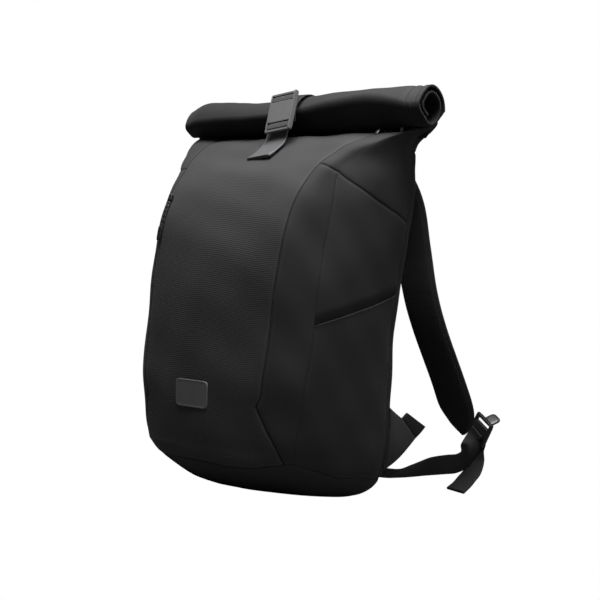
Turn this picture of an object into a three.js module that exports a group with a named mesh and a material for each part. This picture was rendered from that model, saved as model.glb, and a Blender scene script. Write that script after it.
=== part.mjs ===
// Rolltop backpack standing on its base, straps hanging behind it.
// Millimetres. +Z is up, +Y points out of the back panel, +X is the side on the right when the front
// panel is looked at. The origin is the middle of the flat underside.
import * as THREE from 'three';
import { mergeVertices } from 'three/addons/utils/BufferGeometryUtils.js';

// Body
const BODY_HEIGHT = 412;
const HALF_WIDTH = 150;
const BODY_DEPTH = 175;
const BACK_PLANE = 82;
const WALL = 2;
const BACK_PADDING = 8;
const SEAM_GAP = 0.5;
const PIECE_GAP = 0.3;

// Side pockets
const POCKET_ROOM = 9;
const POCKET_LIP = 1.6;

// Rolled top
const ROLL_RADIUS = 27;
const ROLL_PITCH = 7;
const ROLL_TURNS = 1.7;
const ROLL_LENGTH = 372;
const ROLL_MIDDLE_X = 6;
const ROLL_SHEET = 3;
const ROLL_CENTRE_Y = 41;
const ROLL_CLEARANCE = 1.8;
const ROLL_LOWEST_TURN = 0.72;

// Closure
const CLOSURE_WIDTH = 38;
const CLOSURE_THICK = 2;
const BUCKLE_WIDTH = 43;
const BUCKLE_HEIGHT = 48;
const BUCKLE_THICK = 4;
const BUCKLE_SLOT = 6;
const BUCKLE_BAR = 5;
const BUCKLE_CORNER = 2;
const BUCKLE_RAIL = 2.7;
const CLOSURE_DROP = 12;
const STRAP_OFF = 1.5;
const REST_OFF = 2 * PIECE_GAP;
const TAIL_HEM = 3.2;

// Where the closure strap touches: turns of the roll in degrees, then levels of the yoke. The tail starts
// above the drop's end and rests on the front panel at its own levels; between them it hangs at shares of
// the way out to the panel and down to it.
const STRAP_TURNS = [180, 155, 130, 105, 80, 55, 30, 5];
const STRAP_LEVELS = [0.975, 0.945, 0.91];
const TAIL_HANG = [{ out: 0, down: 0 }, { out: 0, down: 0.31 }, { out: 0.17, down: 0.51 },
  { out: 0.58, down: 0.74 }];
const TAIL_REST = [{ level: 0.925, thick: CLOSURE_THICK }, { level: 0.913, thick: TAIL_HEM },
  { level: 0.905, thick: TAIL_HEM }];

// Label
const LABEL_WIDTH = 50;
const LABEL_HEIGHT = 30;
const LABEL_THICK = 1.4;
const LABEL_CORNER = 4;
const LABEL_LEVEL = 0.245;
const LABEL_ROWS = [-1, -0.96, -0.87, -0.7, 0, 0.7, 0.87, 0.96, 1];

// Carrying straps
const PAD_WIDTH = 64;
const PAD_THICK = 12;
const WEBBING_WIDTH = 25;
const WEBBING_THICK = 1.8;
const LOCK_LENGTH = 34;
const LOCK_WIDTH = 33;
const LOCK_THICK = 5;
const LOCK_SLOT = 5;
const LOCK_BAR = 4;
const LOCK_CORNER = 3;
const WING_THICK = 3;

// Zip pulls
const PULL_THICK = 2.4;

// The left front corner of the foot is drawn in further, because the bag stands unevenly filled
const TUCK_LEVEL = 0.1;
const TUCK_WIDTH = 0.2;
const TUCK_DEPTH = 18;

// Places of the guide lines round half a section, from the middle of the front to the middle of the back
const GUIDE = { front: 0, quarter: 0.5, seam: 1, ridge: 1.45, side: 2, edge: 2.55, corner: 2.67, turn: 2.78,
  back: 3.5, spine: 4.15 };
const BACK_INNER = 3.1;
const BACK_NEAR_SPINE = 3.8;

// Guide points that follow from their neighbours, as shares: the quarter point between the middle and the
// seam, and the three points that round the back corner off from the edge to the flat of the back
const QUARTER = { x: 0.5, y: 0.25 };
const BACK_CORNER = { cornerX: 0.22, cornerY: 0.72, turnX: 0.86, backX: 0.45 };

// Sections of the body. level is a share of BODY_HEIGHT. Each x is a share of HALF_WIDTH, and each y the
// share of BODY_DEPTH that it lies in front of the back plane.
const SECTIONS = [
  { level: 0, frontY: 0.657, seamX: 0.333, seamY: 0.629, ridgeX: 0.573, ridgeY: 0.503, sideX: 0.72,
    sideY: 0.326, edgeX: 0.747, edgeY: 0.137, backY: 0.069 },
  { level: 0.01, frontY: 0.743, seamX: 0.387, seamY: 0.697, ridgeX: 0.627, ridgeY: 0.56, sideX: 0.78,
    sideY: 0.354, edgeX: 0.82, edgeY: 0.114, backY: 0.034 },
  { level: 0.032, frontY: 0.834, seamX: 0.453, seamY: 0.766, ridgeX: 0.673, ridgeY: 0.623, sideX: 0.847,
    sideY: 0.377, edgeX: 0.907, edgeY: 0.097, backY: 0.017 },
  { level: 0.066, frontY: 0.909, seamX: 0.533, seamY: 0.829, ridgeX: 0.713, ridgeY: 0.686, sideX: 0.913,
    sideY: 0.4, edgeX: 0.973, edgeY: 0.091, backY: 0.006 },
  { level: 0.121, frontY: 0.943, seamX: 0.593, seamY: 0.849, ridgeX: 0.773, ridgeY: 0.717, sideX: 0.953,
    sideY: 0.406, edgeX: 1.007, edgeY: 0.091, backY: 0 },
  { level: 0.206, frontY: 0.974, seamX: 0.62, seamY: 0.88, ridgeX: 0.82, ridgeY: 0.726, sideX: 0.973,
    sideY: 0.411, edgeX: 1.007, edgeY: 0.091, backY: 0 },
  { level: 0.279, frontY: 0.991, seamX: 0.633, seamY: 0.906, ridgeX: 0.847, ridgeY: 0.743, sideX: 0.98,
    sideY: 0.411, edgeX: 0.993, edgeY: 0.091, backY: 0 },
  { level: 0.388, frontY: 0.991, seamX: 0.65, seamY: 0.897, ridgeX: 0.863, ridgeY: 0.726, sideX: 0.983,
    sideY: 0.411, edgeX: 0.98, edgeY: 0.091, backY: 0 },
  { level: 0.522, frontY: 0.986, seamX: 0.667, seamY: 0.894, ridgeX: 0.867, ridgeY: 0.723, sideX: 0.987,
    sideY: 0.411, edgeX: 0.98, edgeY: 0.091, backY: 0 },
  { level: 0.68, frontY: 0.934, seamX: 0.673, seamY: 0.88, ridgeX: 0.86, ridgeY: 0.686, sideX: 0.987,
    sideY: 0.4, edgeX: 1.013, edgeY: 0.091, backY: -0.006 },
  { level: 0.777, frontY: 0.846, seamX: 0.68, seamY: 0.817, ridgeX: 0.853, ridgeY: 0.646, sideX: 0.987,
    sideY: 0.383, edgeX: 1.033, edgeY: 0.086, backY: -0.017 },
  { level: 0.854, frontY: 0.729, seamX: 0.707, seamY: 0.706, ridgeX: 0.827, ridgeY: 0.6, sideX: 0.993,
    sideY: 0.354, edgeX: 1.04, edgeY: 0.08, backY: -0.017 },
  { level: 0.913, frontY: 0.546, seamX: 0.753, seamY: 0.569, ridgeX: 0.893, ridgeY: 0.474, sideX: 1.013,
    sideY: 0.286, edgeX: 1.033, edgeY: 0.086, backY: -0.006 },
  { level: 0.951, frontY: 0.434, seamX: 0.8, seamY: 0.455, ridgeX: 0.98, ridgeY: 0.4, sideX: 1.06,
    sideY: 0.24, edgeX: 1.05, edgeY: 0.091, backY: 0.017 },
  { level: 0.981, frontY: 0.32, seamX: 0.84, seamY: 0.314, ridgeX: 1.05, ridgeY: 0.286, sideX: 1.12,
    sideY: 0.211, edgeX: 1.12, edgeY: 0.103, backY: 0.046 },
  { level: 1, frontY: 0.143, seamX: 0.92, seamY: 0.143, ridgeX: 1.12, ridgeY: 0.143, sideX: 1.22,
    sideY: 0.137, edgeX: 1.253, edgeY: 0.123, backY: 0.091 },
];

// Seams across the body, each as levels in shares of BODY_HEIGHT at places round the section
const BASE_SEAM = [
  { at: 'front', level: 0.067 }, { at: 'quarter', level: 0.064 }, { at: 'seam', level: 0.066 },
  { at: 'ridge', level: 0.09 }, { at: 'side', level: 0.058 }, { at: 'edge', level: 0.058 },
  { at: 'turn', level: 0.058 }, { at: 'spine', level: 0.058 },
];
const SHOULDER_SEAM = [
  { at: 'seam', level: 0.88 }, { at: 'ridge', level: 0.861 }, { at: 'side', level: 0.803 },
  { at: 'edge', level: 0.757 },
];
const POCKET_MOUTH = [
  { at: 'ridge', level: 0.452 }, { at: 'side', level: 0.507 }, { at: 'edge', level: 0.558 },
];

// The front seam's place round the section: along the seam guide, in a little at the kink, then slanting
// down to the ridge at the foot. share runs from the seam guide to the ridge.
const KINK_LEVEL = 0.229;
const FRONT_SEAM = [
  { level: 0.085, share: 0.88 }, { level: 0.11, share: 0.62 }, { level: 0.165, share: 0.15 },
  { level: KINK_LEVEL, share: -0.2 }, { level: 0.257, share: -0.06 }, { level: 0.35, share: -0.06 },
  { level: 0.52, share: -0.1 }, { level: 0.66, share: -0.04 }, { level: 0.8, share: -0.04 },
  { level: 0.86, share: -0.1 }, { level: 1, share: -0.1 },
];

// Levels of the rows of facets along the front seam, below and above the shoulder seam
const SEAM_ROWS = [0.11, 0.138, 0.165, 0.195, KINK_LEVEL, 0.257, 0.3, 0.35, 0.43, 0.52, 0.6, 0.68, 0.75, 0.81,
  0.85, 0.88];
const NECK_ROWS = [0.88, 0.9, 0.92, 0.939, 0.956, 0.972, 0.986, 1];
const YOKE_ROW = 5;
const BACK_RISE = 0.003;
const BASE_ROWS = [0, 0.12, 0.3, 0.6, 1];
const POCKET_FADE = 0.09;
const MOUTH_ROW_ROOM = 0.02;
const FRONT_COLUMNS = 7;
const CORNER_COLUMNS = 2;
const SIDE_COLUMNS = 6;
const LABEL_COLUMNS = 4;
const STRIP_STEPS = { closure: 20, tail: 12, pull: 4, pad: 20, lever: 4, adjuster: 22, hanging: 15 };

// Height and depth of the roll's section as shares of its round shape, along its length
const ROLL_SHAPE = [
  { along: -1, height: 0.74, depth: 0.72 }, { along: -0.9, height: 0.89, depth: 0.9 },
  { along: -0.74, height: 0.91, depth: 1 }, { along: -0.36, height: 0.82, depth: 1 },
  { along: 0, height: 0.88, depth: 1 }, { along: 0.3, height: 0.945, depth: 1 },
  { along: 1, height: 0.968, depth: 1 },
];
const ROLL_STEPS = 32;
const ROLL_COLUMNS = [-1, -0.95, -0.88, -0.74, -0.55, -0.36, -0.1, 0.1, 0.3, 1];

// Places of what hangs behind the bag, on the right: x is a share of HALF_WIDTH, out the share of BODY_DEPTH
// behind the back plane, and z a share of BODY_HEIGHT. share is the width's share of PAD_WIDTH, swing and
// tilt give the direction of the webbing's width in degrees.
const PAD_TOP = { round: 3.62, level: 0.944, off: 2.25 };
const PAD_PATH = [
  { x: 0.413, out: 0.171, z: 0.951, share: 1 }, { x: 0.46, out: 0.343, z: 0.922, share: 1 },
  { x: 0.493, out: 0.491, z: 0.842, share: 1 }, { x: 0.507, out: 0.6, z: 0.716, share: 1 },
  { x: 0.547, out: 0.674, z: 0.59, share: 1 }, { x: 0.6, out: 0.766, z: 0.483, share: 1 },
  { x: 0.68, out: 0.943, z: 0.335, share: 1 }, { x: 0.707, out: 1.04, z: 0.26, share: 1 },
  { x: 0.713, out: 1.109, z: 0.2185, share: 0.82 }, { x: 0.717, out: 1.149, z: 0.194, share: 0.58 },
  { x: 0.72, out: 1.171, z: 0.176, share: 0.28 },
];
const LOCK_PLACE = { x: 0.787, out: 1.263, z: 0.1893 };
const LOCK_SWING = -16;
const LOCK_TILT = -28;
const LEVER_LENGTH = 20;
const LEVER_WIDTH = 22;
const LEVER_SEAT = 0.25;
const LEVER_SHAPE = [{ out: 0, up: 0, share: 1 }, { out: 0.35, up: 0.15, share: 1 },
  { out: 0.7, up: 0.25, share: 0.8 }];
const ADJUSTER_FOOT = { round: 3.2, level: 0.073, off: 10, tilt: 8 };
const ADJUSTER_END = { under: 1.8, tilt: 4, past: 2 };
const ADJUSTER_PATH = [
  { x: 0.707, out: 0.103, z: 0.068, swing: 0, tilt: 25 },
  { x: 0.72, out: 0.337, z: 0.0585, swing: 0, tilt: 30 },
  { x: 0.72, out: 0.491, z: 0.063, swing: 0, tilt: 44 },
  { x: 0.72, out: 0.617, z: 0.069, swing: 0, tilt: 57 },
  { x: 0.72, out: 0.76, z: 0.076, swing: 0, tilt: 72 },
  { x: 0.713, out: 0.97, z: 0.08, swing: 0, tilt: 84 },
  { x: 0.687, out: 1.1, z: 0.0813, swing: 0, tilt: 86 },
  { x: 0.667, out: 1.163, z: 0.0898, swing: 0, tilt: 98 },
];
const HANGING_START = { over: 0.9 };
const HANGING_PATH = [
  { x: 0.76, out: 1.286, z: 0.126, swing: -14, tilt: -20 },
  { x: 0.78, out: 1.263, z: 0.0937, swing: -8, tilt: -12 },
  { x: 0.8, out: 1.203, z: 0.0607, swing: 0, tilt: -8 },
  { x: 0.807, out: 1.133, z: 0.0403, swing: 6, tilt: -6 },
  { x: 0.817, out: 1.068, z: 0.0245, swing: 11, tilt: -4 },
  { x: 0.827, out: 0.981, z: 0.0083, swing: 15, tilt: -4 },
];
const WING = { round: 2.6, head: 0.253, foot: 0.085, high: { x: 0.873, out: 0.2223, z: 0.2204 },
  low: { x: 0.873, out: 0.3971, z: 0.1658 } };
const WING_ROWS = 3;
const WING_COLUMNS = 4;
const LOOP_ROWS = 2;
const LOOP_COLUMNS = 2;
const WING_LOOP = { high: { x: 0.873, out: 0.2857, z: 0.2367 }, low: { x: 0.873, out: 0.5011, z: 0.1988 } };

// Zip pulls, from place to place on the skin: one on the left front seam, two small ones under the roll
const PULLS = [
  { name: 'seam', from: { round: -0.92, level: 0.775 }, to: { round: -0.94, level: 0.665 }, width: 5 },
  { name: 'top', from: { round: 1.02, level: 0.992 }, to: { round: 1.02, level: 0.962 }, width: 5 },
  { name: 'end', from: { round: 1.22, level: 0.994 }, to: { round: 1.22, level: 0.976 }, width: 6 },
];

const material = (name, color, roughness, metalness = 0) =>
  Object.assign(new THREE.MeshStandardMaterial({ color, roughness, metalness }), { name });
const ripstop = material('ripstop', 0x1d1d1f, 0.78);
const twill = material('twill', 0x19191b, 0.84);
const mesh3d = material('spacer_mesh', 0x101012, 0.95);
const webbing = material('webbing', 0x1b1b1d, 0.62);
const plastic = material('buckle_plastic', 0x2a2a2c, 0.42);
const rubber = material('label_rubber', 0x303033, 0.55);

const lerp = THREE.MathUtils.lerp;
const clamp = THREE.MathUtils.clamp;

// Millimetres of a place that is given in shares
const placed = ({ x, out, z, ...rest }) =>
  ({ ...rest, x: x * HALF_WIDTH, y: BACK_PLANE + out * BODY_DEPTH, z: z * BODY_HEIGHT });
const LOCK = placed(LOCK_PLACE);

// Smooth curve through the values at uneven knots, with slopes from the neighbouring spans
function smooth(knots, values, t) {
  const last = knots.length - 1;
  let i = 0;
  while (i < last - 1 && t > knots[i + 1]) i += 1;
  const span = (k) => (values[k + 1] - values[k]) / (knots[k + 1] - knots[k]);
  const slope = (k) => {
    if (k === 0) return span(0);
    if (k === last) return span(last - 1);
    const before = knots[k] - knots[k - 1];
    const after = knots[k + 1] - knots[k];
    return (span(k - 1) * after + span(k) * before) / (before + after);
  };
  const h = knots[i + 1] - knots[i];
  const s = clamp((t - knots[i]) / h, 0, 1);
  const rise = s * s * (3 - 2 * s);
  return values[i] * (1 - rise) + values[i + 1] * rise
    + h * s * (1 - s) * ((1 - s) * slope(i) - s * slope(i + 1));
}

// Straight lines between rows of a table
function straight(rows, key, value, t) {
  const next = rows.findIndex((row) => row[key] >= t);
  if (next === 0) return rows[0][value];
  if (next < 0) return rows[rows.length - 1][value];
  const a = rows[next - 1];
  const b = rows[next];
  return lerp(a[value], b[value], (t - a[key]) / (b[key] - a[key]));
}

// The body's outer skin: a section for each level, and a smooth curve round each section
const COLUMNS = Object.keys(SECTIONS[0]);
const girth = SECTIONS.reduce((sum, row, i) => {
  if (i === 0) return [0];
  const before = SECTIONS[i - 1];
  const rise = (row.level - before.level) * BODY_HEIGHT;
  const out = (row.ridgeX - before.ridgeX) * HALF_WIDTH;
  const ahead = (row.frontY - before.frontY) * BODY_DEPTH;
  return [...sum, sum[i - 1] + Math.hypot(rise, out, ahead)];
}, []);
const column = Object.fromEntries(COLUMNS.map((name) => [name, SECTIONS.map((row) => row[name])]));

function girthAt(level) {
  let low = 0;
  let high = girth[girth.length - 1];
  for (let i = 0; i < 40; i += 1) {
    const middle = (low + high) / 2;
    if (smooth(girth, column.level, middle) < level) low = middle;
    else high = middle;
  }
  return (low + high) / 2;
}

const sectionCache = new Map();
function section(level) {
  const key = level.toFixed(7);
  if (sectionCache.has(key)) return sectionCache.get(key);
  const at = girthAt(level);
  const row = Object.fromEntries(COLUMNS.map((name) => [name, smooth(girth, column[name], at)]));
  const x = (share) => share * HALF_WIDTH;
  const y = (share) => BACK_PLANE - share * BODY_DEPTH;
  const back = y(row.backY);
  const edge = [x(row.edgeX), y(row.edgeY)];
  const round = back - edge[1];
  const guides = [
    [0, y(row.frontY)],
    [x(row.seamX) * QUARTER.x, lerp(y(row.frontY), y(row.seamY), QUARTER.y)],
    [x(row.seamX), y(row.seamY)],
    [x(row.ridgeX), y(row.ridgeY)],
    [x(row.sideX), y(row.sideY)],
    edge,
    [edge[0] - round * BACK_CORNER.cornerX, edge[1] + round * BACK_CORNER.cornerY],
    [edge[0] - round * BACK_CORNER.turnX, back],
    [edge[0] * BACK_CORNER.backX, back],
    [0, back],
  ];
  const knots = Object.values(GUIDE);
  const ends = (points, sign) => [
    points[1].map((v, k) => (k === 0 ? -v : v)),
    ...points,
    points[points.length - 2].map((v, k) => (k === 0 ? sign * v : v)),
  ];
  const mirrored = ends(guides, -1);
  const spread = [-knots[1], ...knots, 2 * GUIDE.spine - knots[knots.length - 2]];
  const curve = { x: mirrored.map((p) => p[0]), y: mirrored.map((p) => p[1]), knots: spread };
  sectionCache.set(key, curve);
  return curve;
}

// A point of the skin. round is the place round the section and is negative on the left half.
function skinPoint(round, level) {
  const curve = section(clamp(level, 0, 1));
  const half = Math.abs(round);
  const x = smooth(curve.knots, curve.x, half);
  const y = smooth(curve.knots, curve.y, half);
  const low = clamp(1 - level / TUCK_LEVEL, 0, 1);
  const ahead = (BACK_PLANE - y) / BODY_DEPTH;
  const behind = clamp((GUIDE.spine - half) / (GUIDE.spine - GUIDE.edge), 0, 1);
  const beside = clamp(half / GUIDE.seam, 0, 1) * behind;
  const drawn = round < 0 ? low * beside : 0;
  return new THREE.Vector3(Math.sign(round) * x * (1 - TUCK_WIDTH * drawn), y + TUCK_DEPTH * drawn * ahead,
    level * BODY_HEIGHT);
}

const ROUND_STEP = 0.004;
const LEVEL_STEP = 0.002;
const PATH_STEP = 0.01;
const EDGE_SHARE = 0.35;
const MERGE_WITHIN = 1e-4;
const HALF_TURN = 180;

function skinNormal(round, level) {
  const low = Math.max(level - LEVEL_STEP, 0);
  const high = Math.min(level + LEVEL_STEP, 1);
  const a = skinPoint(round - ROUND_STEP, level);
  const b = skinPoint(round + ROUND_STEP, level);
  const up = skinPoint(round, high).sub(skinPoint(round, low));
  return b.sub(a).cross(up).normalize();
}

// Moves a place on the skin sideways by a distance in millimetres
function shifted(round, level, across, along) {
  const a = skinPoint(round - ROUND_STEP, level);
  const b = skinPoint(round + ROUND_STEP, level);
  const perRound = a.distanceTo(b) / (2 * ROUND_STEP);
  const low = skinPoint(round, Math.max(level - LEVEL_STEP, 0));
  const high = skinPoint(round, Math.min(level + LEVEL_STEP, 1));
  const perLevel = low.distanceTo(high) / (Math.min(level + LEVEL_STEP, 1) - Math.max(level - LEVEL_STEP, 0));
  return [round + across / perRound, clamp(level + along / perLevel, 0, 1)];
}

// A closed solid between two grids of points of the same size. outer faces out. A looped grid's last column
// is its first column again.
function shell(outer, inner, looped = false) {
  const rows = outer.length;
  const columns = outer[0].length;
  const positions = [];
  [outer, inner].forEach((grid) => grid.forEach((row) => row.forEach((p) => positions.push(p.x, p.y, p.z))));
  const out = (i, j) => i * columns + j;
  const into = (i, j) => rows * columns + i * columns + j;
  const index = [];
  const quad = (a, b, c, d) => index.push(a, b, c, a, c, d);
  for (let i = 0; i < rows - 1; i += 1) {
    for (let j = 0; j < columns - 1; j += 1) {
      quad(out(i, j), out(i, j + 1), out(i + 1, j + 1), out(i + 1, j));
      quad(into(i, j), into(i + 1, j), into(i + 1, j + 1), into(i, j + 1));
    }
  }
  for (let j = 0; j < columns - 1; j += 1) {
    quad(out(0, j + 1), out(0, j), into(0, j), into(0, j + 1));
    quad(out(rows - 1, j), out(rows - 1, j + 1), into(rows - 1, j + 1), into(rows - 1, j));
  }
  for (let i = 0; i < rows - 1 && !looped; i += 1) {
    quad(out(i, 0), out(i + 1, 0), into(i + 1, 0), into(i, 0));
    quad(out(i + 1, columns - 1), out(i, columns - 1), into(i, columns - 1), into(i + 1, columns - 1));
  }
  return closed(positions, index);
}

// Merges equal points and leaves out triangles that have lost a side
function closed(positions, index) {
  const geometry = new THREE.BufferGeometry();
  geometry.setAttribute('position', new THREE.Float32BufferAttribute(positions, 3));
  geometry.setIndex(index);
  const merged = mergeVertices(geometry, MERGE_WITHIN);
  const old = merged.index.array;
  const kept = [];
  for (let i = 0; i < old.length; i += 3) {
    const [a, b, c] = [old[i], old[i + 1], old[i + 2]];
    if (a !== b && b !== c && c !== a) kept.push(a, b, c);
  }
  merged.setIndex(kept);
  merged.computeVertexNormals();
  return merged;
}

// A patch of the skin as a sewn panel, on the right half for side 1 and on the left half for side -1.
// place(row, column) gives the place round the section and the level, and lift(round, level, along, across)
// raises or sinks the cloth.
function panel({ rows, columns, place, thickness, side = 1, lift = () => 0, trim = SEAM_GAP / 2 }) {
  const outer = [];
  const inner = [];
  const order = side < 0 ? [...columns].reverse() : columns;
  rows.forEach((row, i) => {
    const outerRow = [];
    const innerRow = [];
    order.forEach((col, j) => {
      const [round, level] = place(row, col);
      const across = j === 0 ? trim : j === order.length - 1 ? -trim : 0;
      const along = i === 0 ? trim : i === rows.length - 1 ? -trim : 0;
      const [r, l] = shifted(side * round, level, across, along);
      const point = skinPoint(r, l);
      const normal = skinNormal(r, l);
      const raised = lift(Math.abs(r), l, i / (rows.length - 1), j / (order.length - 1));
      outerRow.push(point.clone().addScaledVector(normal, raised));
      innerRow.push(point.clone().addScaledVector(normal, raised - thickness));
    });
    outer.push(outerRow);
    inner.push(innerRow);
  });
  return shell(outer, inner);
}

function steps(count) {
  return Array.from({ length: count + 1 }, (_, i) => i / count);
}

function seamLevel(seam, round) {
  const rows = seam.map((row) => ({ at: GUIDE[row.at], level: row.level }));
  return straight(rows, 'at', 'level', Math.abs(round));
}

// Place of the front seam round the section, at a level
function frontSeam(level) {
  return lerp(GUIDE.seam, GUIDE.ridge, straight(FRONT_SEAM, 'level', 'share', level));
}

// Share of the way from the first to the last of the seam rows, and of the neck rows
const TOP_SEAM_ROW = SEAM_ROWS[SEAM_ROWS.length - 1];
const seamShare = (level) => (level - SEAM_ROWS[0]) / (TOP_SEAM_ROW - SEAM_ROWS[0]);
const neckShare = (level) => (level - NECK_ROWS[0]) / (1 - NECK_ROWS[0]);
const FOOT = null;
const FOOT_LEVEL = 0.085;
const bodyRows = [FOOT, ...SEAM_ROWS];

// Level of a row on the side of the body, between the base seam and the shoulder seam
function sideLevel(row, round) {
  if (row === FOOT) return seamLevel(BASE_SEAM, round);
  return lerp(SEAM_ROWS[0], seamLevel(SHOULDER_SEAM, round), seamShare(row));
}

// Front panel: from the base seam up to the neck, between the two front seams
function frontPanel() {
  return panel({
    rows: [...bodyRows, ...NECK_ROWS.slice(1)],
    columns: steps(2 * FRONT_COLUMNS).map((t) => 2 * t - 1),
    place: (row, t) => {
      const round = t * frontSeam(row === FOOT ? FOOT_LEVEL : row);
      return [round, row === FOOT ? seamLevel(BASE_SEAM, round) : row];
    },
    thickness: WALL,
  });
}

// Corner panel: the narrow facet between the front seam and the ridge, rounded at its top
function cornerPanel(side) {
  return panel({
    rows: bodyRows,
    columns: steps(CORNER_COLUMNS),
    place: (row, t) => {
      const round = lerp(frontSeam(row === FOOT ? FOOT_LEVEL : row), GUIDE.ridge, t);
      const top = lerp(frontSeam(TOP_SEAM_ROW), GUIDE.ridge, t);
      const height = lerp(SEAM_ROWS[0], seamLevel(SHOULDER_SEAM, top), seamShare(row));
      return [round, row === FOOT ? seamLevel(BASE_SEAM, round) : height];
    },
    thickness: WALL,
    side,
  });
}

// How far the side wall sinks behind the pocket at a place on the skin, so that the pocket is open
function pocketSink(round, level) {
  const across = clamp((round - GUIDE.ridge) / (GUIDE.edge - GUIDE.ridge), 0, 1);
  const above = clamp((seamLevel(POCKET_MOUTH, round) + POCKET_FADE - level) / POCKET_FADE, 0, 1);
  const below = clamp((level - seamLevel(BASE_SEAM, round)) / POCKET_FADE, 0, 1);
  const belly = Math.sqrt(4 * across * (1 - across));
  return -above * (WALL + 4 * PIECE_GAP + POCKET_ROOM * belly * below);
}

const sideColumns = steps(SIDE_COLUMNS).map((t) => lerp(GUIDE.ridge, GUIDE.edge, t));

// Side panel: from the ridge to the back edge, running down behind the pocket as its inner wall
function sidePanel(side) {
  return panel({
    rows: bodyRows,
    columns: sideColumns,
    place: (row, round) => [round, sideLevel(row, round)],
    thickness: WALL,
    side,
    lift: pocketSink,
  });
}

// Side pocket: one sheet over the lower side, open along its sloping mouth
function sidePocket(side) {
  const foot = seamLevel(BASE_SEAM, GUIDE.ridge);
  const mouth = seamLevel(POCKET_MOUTH, GUIDE.ridge);
  const below = SEAM_ROWS.filter((level) => level < mouth - MOUTH_ROW_ROOM);
  return panel({
    rows: [0, ...below.map((level) => (level - foot) / (mouth - foot)), 1],
    columns: sideColumns,
    place: (share, round) =>
      [round, lerp(seamLevel(BASE_SEAM, round), seamLevel(POCKET_MOUTH, round), share)],
    thickness: WALL,
    side,
    lift: (round, level, along, across) => POCKET_LIP * along * along * 4 * across * (1 - across),
  });
}

// Shoulder panel: above the shoulder seam, flaring out to the end of the roll
function shoulderPanel(side) {
  return panel({
    rows: NECK_ROWS,
    columns: [...steps(CORNER_COLUMNS), ...sideColumns.slice(1)],
    place: (row, column) => {
      const share = neckShare(row);
      const round = column <= 1 ? lerp(frontSeam(row), GUIDE.ridge, column) : column;
      const foot = column <= 1 ? lerp(frontSeam(TOP_SEAM_ROW), GUIDE.ridge, column) : column;
      return [round, lerp(seamLevel(SHOULDER_SEAM, foot), 1, share)];
    },
    thickness: WALL,
    side,
  });
}

// Levels of the facets along the back edge, shared by the side, the shoulder, the back and the yoke
const shoulderEdge = seamLevel(SHOULDER_SEAM, GUIDE.edge);
const edgeRows = [
  ...bodyRows.map((row) => (row === FOOT ? FOOT : lerp(SEAM_ROWS[0], shoulderEdge, seamShare(row)))),
  ...NECK_ROWS.slice(1).map((row) => lerp(shoulderEdge, 1, neckShare(row))),
];
const yokeStart = bodyRows.length - 1 + YOKE_ROW;

// Columns of the back, from the right back edge at -1 round the spine to the left back edge at 1
const backHalf = [GUIDE.edge, GUIDE.corner, GUIDE.turn, BACK_INNER, GUIDE.back, BACK_NEAR_SPINE,
  GUIDE.spine];
const backColumns = [...backHalf, ...backHalf.slice(0, -1).reverse().map((round) => -round)];

// A panel of the back between two rows of the back edge
function backPiece(first, last, thickness) {
  return panel({
    rows: edgeRows.slice(first, last + 1),
    columns: backColumns,
    place: (row, round) => [round, row === FOOT ? seamLevel(BASE_SEAM, round) + BACK_RISE : row],
    thickness,
  });
}

// Base: a shallow tub with a flat underside, up to the base seam all round
function basePanel() {
  const frontHalf = steps(FRONT_COLUMNS).map((t) => t * frontSeam(FOOT_LEVEL));
  const half = [...frontHalf, ...steps(CORNER_COLUMNS).slice(1).map((t) => lerp(frontSeam(FOOT_LEVEL),
    GUIDE.ridge, t)), ...sideColumns.slice(1), ...backHalf.slice(1)];
  const columns = [...half, ...half.slice(1, -1).reverse().map((round) => -round), half[0]];
  const middle = skinPoint(GUIDE.spine, 0).add(skinPoint(GUIDE.front, 0)).multiplyScalar(0.5);
  const up = new THREE.Vector3(0, 0, WALL);
  const outer = [columns.map(() => middle.clone())];
  const inner = [columns.map(() => middle.clone().add(up))];
  BASE_ROWS.forEach((share, i) => {
    const outerRow = [];
    const innerRow = [];
    columns.forEach((round) => {
      const trim = i === BASE_ROWS.length - 1 ? -SEAM_GAP / 2 : 0;
      const [r, l] = shifted(round, seamLevel(BASE_SEAM, round) * share, 0, trim);
      const point = skinPoint(r, l);
      const normal = skinNormal(r, l);
      const inward = i === 0 ? normal.sub(new THREE.Vector3(0, 0, 1)).normalize() : normal;
      outerRow.push(point);
      innerRow.push(point.clone().addScaledVector(inward, -WALL));
    });
    outer.push(outerRow);
    inner.push(innerRow);
  });
  return shell(outer, inner, true);
}

// Label: a bare patch with rounded corners, lying on the front panel
function labelPatch() {
  const half = LABEL_HEIGHT / 2;
  return panel({
    rows: LABEL_ROWS.map((share) => share * half),
    columns: steps(LABEL_COLUMNS).map((t) => 2 * t - 1),
    place: (offset, t) => {
      const past = Math.max(Math.abs(offset) - (half - LABEL_CORNER), 0);
      const cut = LABEL_CORNER - Math.sqrt(LABEL_CORNER ** 2 - past ** 2);
      return shifted(0, LABEL_LEVEL + offset / BODY_HEIGHT, t * (LABEL_WIDTH / 2 - cut), 0);
    },
    thickness: LABEL_THICK,
    lift: () => PIECE_GAP + LABEL_THICK,
    trim: 0,
  });
}

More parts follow.
